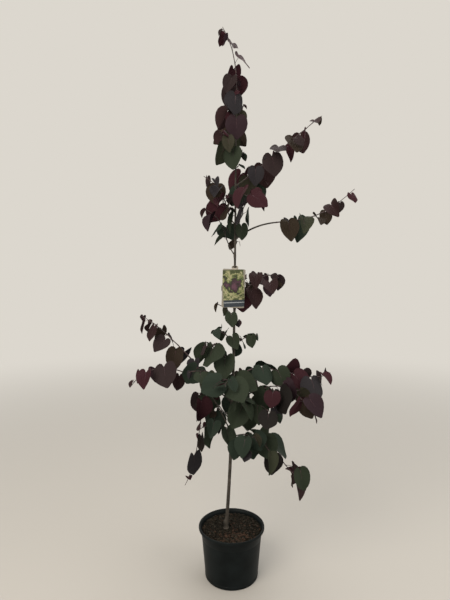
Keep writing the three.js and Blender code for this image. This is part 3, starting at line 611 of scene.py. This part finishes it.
# The flat blade in polar form round the joint: the outline's points, a row inside it with half as many, and
# the joint. Above and below share the outline and the joint, so the blade is closed and thins to its edge.
class BladeGrid:
    def __init__(self, angles):
        outline = np.array([-a for a in angles[::-1]] + [0.0, *angles])
        row = outline[1:-1:2]
        n, m = len(outline), len(row)
        joint = n + m
        self.angle = np.concatenate([outline, row, [0.0]])
        self.row = np.concatenate([np.ones(n), np.full(m, blade["inside"]), [0.0]])
        radius = heartRadius(self.angle) * self.row
        self.u, self.v = leafShape["width"] * radius * np.sin(self.angle), radius * np.cos(self.angle)
        self.inner = np.arange(n, joint)
        flat = np.stack([radius * np.sin(self.angle), self.v], -1)
        self.flat = np.concatenate([flat, flat[self.inner]])
        above = []
        for i, middle in enumerate(self.inner):
            above += [[middle, 2 * i + 1, 2 * i], [middle, 2 * i + 2, 2 * i + 1]]
        for i, (left, right) in enumerate(zip(self.inner[:-1], self.inner[1:])):
            above += [[left, right, 2 * i + 2], [joint, right, left]]
        above += [[joint, self.inner[0], 0], [joint, n - 1, self.inner[-1]]]
        above = np.array(above)
        under = np.arange(joint + 1)
        under[self.inner] = joint + 1 + np.arange(m)
        self.faces = np.concatenate([above, under[above[:, ::-1]]])
        self.isBelow = np.repeat([0, 1], len(above))

    # Both skins of one leaf. The blade folds up along its midrib, each half arches over, the point curls
    # under, and the rim waves.
    def skins(self, leaf, phase):
        wave = blade["wave"] * self.row**3 * np.sin(blade["waves"] * self.angle + phase)
        wave = wave * np.minimum(1, np.abs(self.angle))
        ridge = np.hypot(self.u, blade["ridgeSoft"]) - blade["ridgeSoft"]
        arch = blade["arch"] * (1 + blade["archScatter"] * math.sin(phase)) * self.u**2
        fold = leaf.fold * (1 + blade["youngFold"] * leaf.share)
        lift = ridge * math.sin(fold) - arch - leaf.curl * self.v**2 + wave
        across = (self.u * math.cos(fold))[:, None] * leaf.across
        place = leaf.joint + leaf.length * (across + self.v[:, None] * leaf.tip + lift[:, None] * leaf.normal)
        under = place[self.inner] - 0.5 * blade["thickness"] * leaf.normal
        place[self.inner] += 0.5 * blade["thickness"] * leaf.normal
        return np.concatenate([place, under])


largeBlade, smallBlade = BladeGrid(blade["angles"]), BladeGrid(blade["smallAngles"])

# how far a stalk bows up, its radius, and the share of that on the smallest leaves; its swelling at the stem
# and at the blade, and over which share of its length; where the midrib runs, and how much it thins
stalkShape = {
    "bow": 0.1, "radius": 0.95, "smallest": 0.55, "fullAt": 90, "foot": (0.55, 0.12), "head": (0.45, 0.1),
    "rib": (0.08, 0.7), "ribThins": 0.85,
}
bud = {"length": 5.5, "atTip": 5.0, "lean": 0.9, "thickness": 0.36, "rings": 4, "sides": 5}


# The stalk from the stem to the blade, bowed a little upwards and thicker at both ends, and its run on as the
# midrib under the blade, thinning to nothing.
def stalkTube(leaf, sides, rings):
    s, t = stalkShape, 0.5 - 0.5 * np.cos(np.linspace(0, np.pi, rings))
    run = np.linalg.norm(leaf.joint - leaf.node)
    bow = 0.5 * (leaf.node + leaf.joint) + s["bow"] * run * up
    path = np.outer((1 - t) ** 2, leaf.node) + np.outer(2 * t * (1 - t), bow) + np.outer(t**2, leaf.joint)
    radii = s["radius"] + 0 * t
    for (swelling, length), away in ((s["foot"], t), (s["head"], 1 - t)):
        radii += swelling * bell(away, length)
    v = np.linspace(*s["rib"], rings // 2)
    rib = leaf.joint + leaf.length * (np.outer(v, leaf.tip) - np.outer(leaf.curl * v**2, leaf.normal))
    rib = rib - 0.5 * blade["thickness"] * leaf.normal
    radii = np.concatenate([radii, s["radius"] - s["ribThins"] * v / s["rib"][1]])
    radii *= s["smallest"] + (1 - s["smallest"]) * min(1, leaf.length / s["fullAt"])
    return tube(np.concatenate([path, rib]), radii, sides, leaf.across + 0.01 * up)


# A bud: a small pointed egg that leans out from the stem.
def budTube(at, lean, length):
    t = np.linspace(0, 1, bud["rings"])
    radii = bud["thickness"] * length * np.sqrt(np.sin(np.pi * (0.08 + 0.9 * t))) * (1.1 - 0.75 * t)
    return tube(at + np.outer(t * length, lean), radii, bud["sides"], np.cross(lean, [0.3, 0.5, 0.8]))


# The tint of a leaf: green where its shoot is old, and by way of bronze to purple towards the young tip.
def dealTint(leaf, dice):
    age = leaf.share - leaf.shoot.oldUpTo + dice.uniform(-ageing["scatter"], ageing["scatter"])
    names = tintsByAge["old" if age < ageing["turning"] else "turning" if age < ageing["young"] else "young"]
    return tintNames.index(names[dice.randint(len(names))])


# Finer growth on the same rule: short spurs from the angles of the leaves, each with one or two small young
# leaves. The chance of one falls off with the distance from the trunk. Some stand on the trunk itself, from a
# height above its foot over a length of it, and reach a little further.
spur = {
    "chance": 0.42, "upTo": 260, "turn": (40, 120), "reach": (9, 26), "rise": (2, 20), "leaf": (26, 48),
    "leaves": 2, "bare": 0.3, "seed": 77, "onTrunk": 16, "trunkFrom": 430, "trunkLength": 1280, "further": 8,
    "onTrunkLike": {"name": "trunk", "azimuth": 0, "reach": 0, "rise": 0, "hang": 60, "oldUpTo": 0.6},
}


def makeSpur(limb, azimuth, start, further, dice):
    reach, rise = dice.between(*spur["reach"]) + further, dice.between(*spur["rise"])
    return sideShoot(limb, start, azimuth, reach, rise, leaves=spur["leaves"], bare=spur["bare"],
                     leaf=dice.between(*spur["leaf"]), twist=0)


def growSpurs(crown, taken):
    small = []
    dice = Dice(spur["seed"])
    for shoot, twigs, _ in crown:
        for limb in [shoot, *twigs]:
            for i in range(limb.leaves):
                away = np.linalg.norm(limb.node(i) - shoot.start)
                if dice.between(0, 1) < spur["chance"] * (1 - away / spur["upTo"]):
                    azimuth = limb.azimuth + handOf(i) * dice.between(*spur["turn"]) + limb.twist * i
                    small.append(makeSpur(limb, azimuth, limb.node(i), 0, dice))
    for i in range(spur["onTrunk"]):
        above = spur["trunkFrom"] + (i + dice.between(0.1, 0.9)) * spur["trunkLength"] / spur["onTrunk"]
        limb = Shoot(spur["onTrunkLike"], trunkPoint(trunk["foot"] + above), -2)
        small.append(makeSpur(limb, dice.between(0, 360), limb.start, spur["further"], dice))
    grown = [(limb, growLeaves(limb, dice, taken)) for limb in small]
    return [(limb, leaves) for limb, leaves in grown if leaves]


spurs = growSpurs(crown, taken)
print("grown", sum(len(leaves) for _, leaves in spurs), "small leaves on", len(spurs), "spurs")

# what most leaves of a region are
regions = {
    "top": "leaf_green", "upper": "leaf_purple", "middle": "leaf_green", "left": "leaf_green",
    "right": "leaf_purple", "inner": "leaf_green",
}
leafPiles = {region: Pile() for region in regions}
twigPile = Pile()
tintDice = np.random.RandomState(5)


# Deals a leaf its tint and puts its blade and its stalk on their piles.
def addLeaf(leaf, region, grid, sides, rings):
    tint = dealTint(leaf, tintDice)
    vertices = grid.skins(leaf, tintDice.uniform(0, 2 * np.pi))
    leafPiles[region].add(vertices, grid.faces, 2 * tint + grid.isBelow, grid.flat)
    twigPile.add(*stalkTube(leaf, sides, rings), 1)


# how far apart a stem's rings are, how much and how far it swells at a leaf, and its overlap with its bough
stemSkin = {"step": 5, "swelling": 0.6, "swellingLength": 3, "overlap": 0.004}


# A stem from share start to its tip: a ring every few millimetres, a swelling and a bud at each leaf, and one
# more bud at the end.
def addStem(limb, start, sides):
    rings = max(4, math.ceil(limb.length * (1 - start) / stemSkin["step"]))
    t = np.linspace(start, 1, rings)
    radii = limb.radius(t)
    for i in range(limb.leaves):
        away = (t - limb.share(i)) * limb.length
        radii = radii + stemSkin["swelling"] * bell(away, stemSkin["swellingLength"])
    twigPile.add(*tube(limb.point(t), radii, sides, limb.side), 0)
    twigPile.add(*budTube(limb.point(1.0), limb.along(1.0), bud["atTip"]), 0)
    for i in range(limb.leaves):
        lean = unit(limb.along(limb.share(i)) + bud["lean"] * handOf(i) * limb.side)
        twigPile.add(*budTube(limb.node(i), lean, bud["length"]), 0)


for shoot, twigs, leaves in crown:
    addStem(shoot, max(0.0, shoot.bare - stemSkin["overlap"]), 10)
    for limb in twigs:
        addStem(limb, 0.0, 8)
    for leaf in leaves:
        addLeaf(leaf, shoot.region, largeBlade, 5, 7)
for limb, leaves in spurs:
    addStem(limb, 0.0, 6)
    if limb.name == "trunk":
        away = [np.linalg.norm(shoot.start - limb.start) for shoot, _, _ in crown]
        limb.region = crown[np.argmin(away)][0].region
    for leaf in leaves:
        addLeaf(leaf, limb.region, smallBlade, 4, 5)

for region, slot in regions.items():
    nodes = [f"mass_{shoot.name}" for shoot, _, _ in crown if shoot.region == region]
    makePiece(f"leaves_{region}", leafPiles[region], leafFinishes, slot, nodes, 60)
makePiece("twigs_and_stalks", twigPile, [shootBark, stalkSkin], "bark")


# Trunk and boughs, in one piece with the bark's relief: long low ridges up the stem, small scars, a knot at
# the root of every shoot, highest on the shoot's side, and a collar where a bough leaves the trunk.
bark = {
    "sides": 28, "step": 4.0, "ridge": 0.28, "ridgeSize": 7.0, "ridgeStretch": 0.12, "scar": 0.35,
    "scarSize": 5.0, "scarFrom": 0.35, "knot": 1.6, "knotHeight": 11.0, "knotDrop": 2.0, "knotRound": 0.35,
    "smoothTop": 20.0, "boughSides": 14, "boughStep": 3.0, "boughRelief": 0.16, "boughGrain": 4.0,
    "collar": 0.9, "collarAt": 6.0, "collarLength": 7.0,
}

barkPile = Pile()
rings = math.ceil((trunk["top"] - trunk["foot"]) / bark["step"])
z = np.linspace(trunk["foot"], trunk["top"], rings + 1)
ring, turn = circle(bark["sides"])
middle, radii = trunkPoint(z)[:, None], trunkRadius(z)[:, None]
onSkin = middle + radii[..., None] * ring
relief = bark["ridge"] * unevenness(onSkin * [1, 1, bark["ridgeStretch"]], bark["ridgeSize"], 3)
relief += bark["scar"] * np.maximum(0, unevenness(onSkin, bark["scarSize"], 4) - bark["scarFrom"])
for shoot, _, _ in crown[1:]:
    toShoot = np.maximum(0, np.cos(turn - math.radians(shoot.azimuth))) ** 2
    level = bell(z - shoot.root + bark["knotDrop"], bark["knotHeight"])[:, None]
    relief += bark["knot"] * level * (bark["knotRound"] + toShoot)
radii = radii + relief * np.minimum(1, (z[-1] - z) / bark["smoothTop"])[:, None]
barkPile.add(*closeRings(middle + radii[..., None] * ring, middle[0, 0], middle[-1, 0]), 0)

boughNodes = []
ring, _ = circle(bark["boughSides"])
for shoot, _, _ in crown:
    if shoot.bare:
        t = np.linspace(0, shoot.bare, math.ceil(shoot.bare * shoot.length / bark["boughStep"]) + 2)
        path = shoot.point(t)
        away = np.linalg.norm(path - path[0], axis=1)
        collar = bark["collar"] * bell(away - bark["collarAt"], bark["collarLength"]) * (away > 0)
        onSkin = 3 * ring + (t * shoot.length * 0.3)[:, None, None] * up  # drawn out lengthwise
        relief = bark["boughRelief"] * unevenness(onSkin, bark["boughGrain"], 6)
        radii = (shoot.radius(t) + collar)[:, None] + relief
        barkPile.add(*tube(path, radii, bark["boughSides"], shoot.side), 0)
        boughNodes.append(f"bough_{shoot.name}")
makePiece("trunk_and_boughs", barkPile, [trunkBark], "bark", ["trunk", *boughNodes], 60)


# The pot: injection-moulded black polypropylene, satin, with a rolled rim, a stacking ledge and a foot ring.
# Between foot and ledge its wall lies back by panel. The foot ring's corners are given outwards from the base
# and up from the ground, and the rolled rim's outwards from the rim and up from the top.
pot = {
    "height": 215.0, "rim": 140.0, "top": 131.0, "base": 112.0, "wall": 2.5, "panel": 0.8, "hollow": 4.5,
    "footRing": ((-16, 4.5), (-11, 3.8), (-9, 0.6), (-7, 0), (-3.5, 0), (-1.5, 0.7)),
    "rolledRim": (
        (-2.8, -12.2), (-1, -11.4), (-0.3, -9.8), (0, -7), (0, -3.5), (-0.6, -1.4), (-2, -0.2), (-3.6, 0),
        (-5.4, -0.4), (-7, -1.6), (-8.6, -3.8), (-10.4, -6.6),
    ),
    "sides": 144,
}
satin = gloss(0.45, 1.49, 0.08)
potPlastic = blotchedFinish("blackPolypropylene", satin, "#0e1213", "#14191a", 60, 1.2, 0.02, 2)


# The outside of the plain wall at height z: a straight cone from base to top.
def potRadius(z):
    return pot["base"] + (pot["top"] - pot["base"]) * z / pot["height"]


profile = [[0, pot["hollow"]]] + [[pot["base"] + out, z] for out, z in pot["footRing"]]
profile += [[potRadius(z), z] for z in (3, 9, 13.5)]
profile += [[potRadius(14) - pot["panel"], 14.5]]
profile += [[potRadius(z) - pot["panel"], z] for z in (*np.linspace(16, 168, 12), 170)]
profile += [[potRadius(171), 171.5], [potRadius(200), 200], [potRadius(201) + 0.6, 202.2]]
profile += [[pot["rim"] + out, pot["height"] + z] for out, z in pot["rolledRim"]]
profile += [[potRadius(z) - pot["wall"], z] for z in (204, 198, 150, 100, 50, 9)] + [[100, 7.2], [0, 7.2]]
potPile = Pile()
potPile.add(*lathe(profile, pot["sides"]), 0)
makePiece("nursery_pot", potPile, [potPlastic], "pot", ["pot"], 32)

# The potting mix: peat under a loose layer of bark chips. freshAt and freshSpread say where newer bark lies,
# and red and brown are shares of the chips: everywhere, and how much more where the bark is new.
soil = {
    "top": 197.0, "bottom": 20.0, "sides": 120, "rings": 42, "crown": 3.0, "bump": 2.2, "bumpSize": 22.0,
    "crumbSize": 8.0, "chips": 3600, "chipSize": (2.5, 11.0), "chipsReach": 121, "roundStem": 13,
    "freshAt": (30, -75), "freshSpread": (65, 42), "red": (0.06, 0.55), "brown": (0.3, 0.4), "dark": 0.88,
    "crownReach": 130, "bumpsReach": 127, "bumpsFade": 20, "freshLarger": 0.7, "chipTilt": 0.35,
    "chipRise": 0.12, "chipLoose": 1.6,
}
peat = blotchedFinish("dampPeat", gloss(0.95, 1.4, 0.15), "#0d0c08", "#1e1a12", 9, 1.5, 0.9)
chipColours = {
    "Dark": ("#0f0e0a", "#191711"), "Brown": ("#1e1a14", "#302820"), "Red": ("#2b2019", "#413026"),
    "Grey": ("#22201a", "#35322a"),
}
matt = gloss(0.85, 1.45, 0.15)
chipFinishes = []
for name, pair in chipColours.items():
    chipFinishes.append(blotchedFinish("chip" + name, matt, *pair, 5, 0.8, 0.25))


# The height of the soil at x, y: a low crown with bumps that die out at the pot's wall.
def soilHeight(x, y):
    away, place = np.hypot(x, y), np.stack([x, y, 0 * x], -1)
    bumps = unevenness(place, soil["bumpSize"], 8) + 0.5 * unevenness(place, soil["crumbSize"], 9)
    bumps = soil["bump"] * bumps * np.minimum(1, (soil["bumpsReach"] - away) / soil["bumpsFade"])
    return soil["top"] + soil["crown"] * (1 - (away / soil["crownReach"]) ** 2) + bumps


soilPile = Pile()
reach = potRadius(soil["top"]) - pot["wall"] - 0.3
ring, _ = circle(soil["sides"])
surface = np.linspace(reach, reach / soil["rings"], soil["rings"])[:, None, None] * ring
surface[..., 2] = soilHeight(surface[..., 0], surface[..., 1])
bottom = soil["bottom"] * up
under = (potRadius(soil["bottom"]) - pot["wall"] - 0.6) * ring + bottom
summit = [0, 0, float(soilHeight(0.0, 0.0))]
soilPile.add(*closeRings(np.concatenate([under[None], surface]), bottom, summit), 0)

# Chips: small bent boxes, flat and longer than wide, each turned at random and pressed into the peat.
dice = np.random.RandomState(21)
n = soil["chips"]
away, turn = soil["chipsReach"] * np.sqrt(dice.uniform(0, 1, n)), dice.uniform(0, 2 * np.pi, n)
x, y = away * np.cos(turn), away * np.sin(turn)
fresh = 1.0
for offset, at, spread in zip((x, y), soil["freshAt"], soil["freshSpread"]):
    fresh = fresh * bell(offset - at, spread)
least, most = soil["chipSize"]
size = least + (most - least) * (1 + soil["freshLarger"] * fresh) * dice.uniform(0, 1, n) ** 3
stemAt = trunkPoint(soil["top"] + 4)
clear = np.hypot(x - stemAt[0], y - stemAt[1]) > soil["roundStem"] + size
x, y, size, fresh, n = x[clear], y[clear], size[clear], fresh[clear], int(clear.sum())
box = np.array([[i, j, k] for i in (-1, 1) for j in (-1, 1) for k in (-1, 1)], float)
boxSides = np.array([[0, 1, 3, 2], [4, 6, 7, 5], [0, 4, 5, 1], [2, 3, 7, 6], [0, 2, 6, 4], [1, 5, 7, 3]])
boxFaces = boxSides[:, [0, 1, 2, 0, 2, 3]].reshape(-1, 3)
shares = ((0.4, 0.6), (0.18, 0.4), (0.07, 0.2))  # half the length, width and thickness of a chip, by its size
scale = size[:, None] * np.stack([dice.uniform(low, high, n) for low, high in shares], -1)
corners = box[None] * scale[:, None] * dice.uniform(0.65, 1.1, (n, 8, 3))
yaw, pitch = dice.uniform(0, 2 * np.pi, n), dice.normal(0, soil["chipTilt"], n)
ahead = np.stack([np.cos(yaw) * np.cos(pitch), np.sin(yaw) * np.cos(pitch), np.sin(pitch)], -1)
sideways = unit(np.cross(np.tile(up, (n, 1)), ahead))
axes = np.stack([ahead, sideways, np.cross(ahead, sideways)], 1)
level = soilHeight(x, y) + soil["chipRise"] * size + dice.uniform(0, soil["chipLoose"], n)
middle = np.stack([x, y, level], -1)
chips = middle[:, None] + np.einsum("nij,njk->nik", corners, axes)
luck = dice.uniform(0, 1, n)
isRed, isBrown = (luck < usualShare + more * fresh for usualShare, more in (soil["red"], soil["brown"]))
kinds = np.select([isRed, isBrown, luck < soil["dark"]], [3, 2, 1], 4)
soilPile.add(chips, boxFaces[None] + 8 * np.arange(n)[:, None, None], np.repeat(kinds, len(boxFaces)))
makePiece("potting_mix", soilPile, [peat, *chipFinishes], "soil", ["soil"], 35)


# The plant card: a die-cut sheet of white polypropylene, printed and glossy, on a strap of the same sheet.
# The print is generic: foliage out of focus in a grey border, over a plain slate band with a pale stripe.
cardSheet = {
    "thickness": 0.6, "corner": 6.0, "bow": 3.0, "tilt": 2.2, "strapHeight": 1309.0, "strapHalf": 13.0,
    "strapWidth": 9.0, "strapTilt": 25.0, "strapThickness": (0.2, 0.8), "border": 3.5, "bandTop": -48.0,
    "stripe": (-60.0, -57.0), "softEdge": 0.2, "blot": 24.0, "uneven": 2.4, "unevenFrom": -1.15, "bush": 14.0,
    "bushReach": 36.0,
}
# places along the ramp from the middle of the bush outwards, and their colours
foliagePrint = (
    (0.0, "#553946"), (0.16, "#46303a"), (0.34, "#2a1f24"), (0.4, "#282c20"), (0.5, "#454f30"),
    (0.62, "#6b7349"), (0.74, "#9a9576"), (0.86, "#656b48"), (1.0, "#3b4229"),
)


# The two sides of a step in one coordinate: 1 where the value lies between low and high, else 0.
def between(add, value, low, high):
    soft, sides = cardSheet["softEdge"] / metre, []
    for outer, inner in ((low - soft, low + soft), (high + soft, high - soft)):
        sides.append(add("MapRange", {"Value": value, "From Min": outer, "From Max": inner}))
    return add("Math", sides, operation="MULTIPLY")


# The distance from the bush's middle, made uneven by noise, runs through a ramp from plum to green. The band,
# stripe and border are laid over it by how far a point lies from the card's middle.
def printedFinish():
    material, add, surface, place = startFinish("printedPolypropylene", gloss(0.4, 1.49, 0.3))
    blots = {"Vector": place, "Scale": metre / cardSheet["blot"], "Detail": 5.0, "Roughness": 0.66}
    blots = add("TexNoise", blots)
    middle = (card["x"] / metre, 0, (card["top"] - card["height"] / 2) / metre)
    centred = add("VectorMath", [place, middle], operation="SUBTRACT")
    lean = (0, math.radians(cardSheet["tilt"]), 0)
    upright = add("Mapping", {"Vector": centred, "Rotation": lean})
    x, _, z = add("SeparateXYZ", [upright]).node.outputs
    above = add("Math", [z, cardSheet["bush"] / metre], operation="SUBTRACT")
    plane = add("CombineXYZ", [x, above])
    away = add("VectorMath", [plane], "Value", operation="LENGTH")
    away = add("Math", [away, 0.5 * metre / cardSheet["bushReach"]], operation="MULTIPLY")
    uneven = [blots, cardSheet["uneven"], cardSheet["unevenFrom"]]
    uneven = add("Math", uneven, operation="MULTIPLY_ADD")
    colour = add("ValToRGB", {"Fac": add("Math", [away, uneven], operation="ADD")})
    stops = colour.node.color_ramp.elements
    stops.remove(stops[1])
    stops[0].color = linear(foliagePrint[0][1])
    for at, shade in foliagePrint[1:]:
        stops.new(at).color = linear(shade)
    wide, high, edge = (v / metre for v in (card["width"] / 2, card["height"] / 2, cardSheet["border"]))
    bandTop, low, top = (v / metre for v in (cardSheet["bandTop"], *cardSheet["stripe"]))
    inside = [between(add, x, edge - wide, wide - edge), between(add, z, edge - high, high - edge)]
    inside = add("Math", inside, operation="MULTIPLY")
    band, stripe = between(add, z, -high, bandTop), between(add, z, low, top)
    for cover, shade in ((band, "#2c333b"), (stripe, "#8f959a")):
        colour = add("Mix", {0: cover, 6: colour, 7: linear(shade)}, 2, data_type="RGBA")
    colour = add("Mix", {0: inside, 6: linear("#7d7970"), 7: colour}, 2, data_type="RGBA")
    setInputs(surface, {"Base Color": colour})
    return material


cardPlain = blotchedFinish("whitePolypropylene", gloss(0.38, 1.49), "#a39c90", "#b3ada2", 30, 2, 0.02)


# The sheet: a grid whose rows narrow in the rounded corners, bowed like a page, with front and back joined by
# a rim that follows loop round the grid's edge.
def cardSkin(columns=25, rows=41):
    w, h, r = card["width"] / 2, card["height"] / 2, cardSheet["corner"]
    u, v = np.meshgrid(np.linspace(-1, 1, columns), np.sin(np.linspace(-np.pi / 2, np.pi / 2, rows)))
    into = np.maximum(0, np.abs(v * h) - (h - r))
    x, z = u * (w - r + np.sqrt(np.maximum(0, r * r - into**2))), v * h
    y = cardSheet["bow"] * ((x / w) ** 2 - 0.5) * np.clip((h - z) / h, 0, 1)
    lean = math.radians(cardSheet["tilt"])
    right, above = turned(x, z, lean), turned(z, -x, lean)
    place = np.stack([card["x"] + right, card["y"] + y, card["top"] - h + above], -1).reshape(-1, 3)
    half = np.array([0, cardSheet["thickness"] / 2, 0])
    count = rows * columns
    front = gridFaces(rows, columns)
    number = np.arange(count).reshape(rows, columns)
    loop = np.concatenate([number[0, :-1], number[:-1, -1], number[-1, :0:-1], number[:0:-1, 0]])
    after = np.roll(loop, -1)
    rim = [np.stack([loop, after + count, after], -1), np.stack([loop, loop + count, after + count], -1)]
    faces = np.concatenate([front, front[:, ::-1] + count, *rim])
    finish = np.repeat([0, 1], [len(front), len(faces) - len(front)])
    return np.concatenate([place - half, place + half]), faces, finish


# The strap: a flat band carried round an ellipse that leans forwards, from the back of the stem to the card's
# top edge. The corners of its section are given outwards from the ellipse and up, as a share of its width.
def strapBand(steps=56):
    s, lean = cardSheet, math.radians(cardSheet["strapTilt"])
    middle = trunkPoint(s["strapHeight"])
    back = middle[1] + float(trunkRadius(s["strapHeight"])) + 0.3 + 0.5 * s["strapWidth"] * math.sin(lean)
    front = card["y"] - 0.7
    depth = (back - front) / (2 * math.cos(lean)) - 0.45
    centre = np.array([middle[0], (back + front) / 2, s["strapHeight"]])
    ahead = np.array([0.0, 1.0, 0.0])
    ahead, rise = turned(ahead, up, lean), turned(up, -ahead, lean)
    ring, _ = circle(steps)
    inner, outer = s["strapThickness"]
    rows = []
    for out, high in ((outer, 0.5), (outer, -0.5), (inner, -0.5), (inner, 0.5)):
        wide, deep = (s["strapHalf"] + out) * ring[:, :1], (depth + out) * ring[:, 1:2]
        rows.append(centre + wide * [1, 0, 0] + deep * ahead + high * s["strapWidth"] * rise)
    return np.stack(rows, 1).reshape(-1, 3), gridFaces(steps + 1, 4, True) % (4 * steps), 1


cardPile = Pile()
cardPile.add(*cardSkin())
cardPile.add(*strapBand())
makePiece("plant_card", cardPile, [printedFinish(), cardPlain], "card", ["card"], 40)


# The stage, in metres: a pale floor that turns into the tone of the surroundings far out, light and camera.
studio = {
    "surround": "#dcd7ce", "floor": "#aaa8a4", "floorRadius": 30.0, "floorThickness": 0.02, "fadeFrom": 0.6,
    "fadeTo": 6.0,
}
reach, low = studio["floorRadius"], -studio["floorThickness"]
vertices, faces = lathe([[0, low], [reach, low], [reach, 0], [0, 0]], 96)
floorMesh = bpy.data.meshes.new("floor")
floorMesh.from_pydata(vertices, [], faces.tolist())
floor = addObject("floor", floorMesh)
paint = {"Base Color": linear(studio["floor"]), "Roughness": 0.9}
floorFinish, add, surface, place = startFinish("paintedFloor", paint)
away = add("VectorMath", [place], "Value", operation="LENGTH")
fade = {"Value": away, "From Min": studio["fadeFrom"], "From Max": studio["fadeTo"]}
fade = add("MapRange", fade, interpolation_type="SMOOTHSTEP")
glow = add("Emission", {"Color": linear(studio["surround"])})
both = add("MixShader", [fade, surface.outputs[0], glow])
setInputs(floorFinish.node_tree.nodes["Material Output"], {"Surface": both})
floorMesh.materials.append(floorFinish)

world = bpy.data.worlds.new("surroundings")
world.use_nodes = True
around = {"Color": linear(studio["surround"]), "Strength": 1.0}
setInputs(world.node_tree.nodes["Background"], around)
bpy.context.scene.world = world

# name, place in metres, size in metres, power in watts, colour; all look at the middle of the plant
softLights = (
    ("keyLight", (-1.7, -2.6, 3.2), 3.0, 130, "#fff4e6"),
    ("topLight", (0.6, 1.0, 4.2), 4.0, 85, "#f8f6f4"),
    ("sideLight", (2.6, -1.2, 1.8), 2.4, 32, "#fdf6ee"),
)
aim = mathutils.Vector((0, 0, 1.1))
for name, at, size, power, colour in softLights:
    light = bpy.data.lights.new(name, "AREA")
    light.shape, light.size, light.energy, light.color = "DISK", size, power, linear(colour)[:3]
    lamp = addObject(name, light)
    lamp.location = at
    lamp.rotation_euler = (aim - lamp.location).to_track_quat("-Z", "Y").to_euler()

view = {"place": (-0.028, -1.879, 1.267), "pitch": 2.79, "lens": 27.06, "film": 36.0}
lens = bpy.data.cameras.new("camera")
lens.lens, lens.sensor_width = view["lens"], view["film"]
camera = addObject("camera", lens)
camera.location, camera.rotation_euler = view["place"], (math.radians(90 - view["pitch"]), 0, 0)
bpy.context.scene.camera = camera
bpy.context.scene.view_settings.view_transform = "Standard"
print("set the stage")
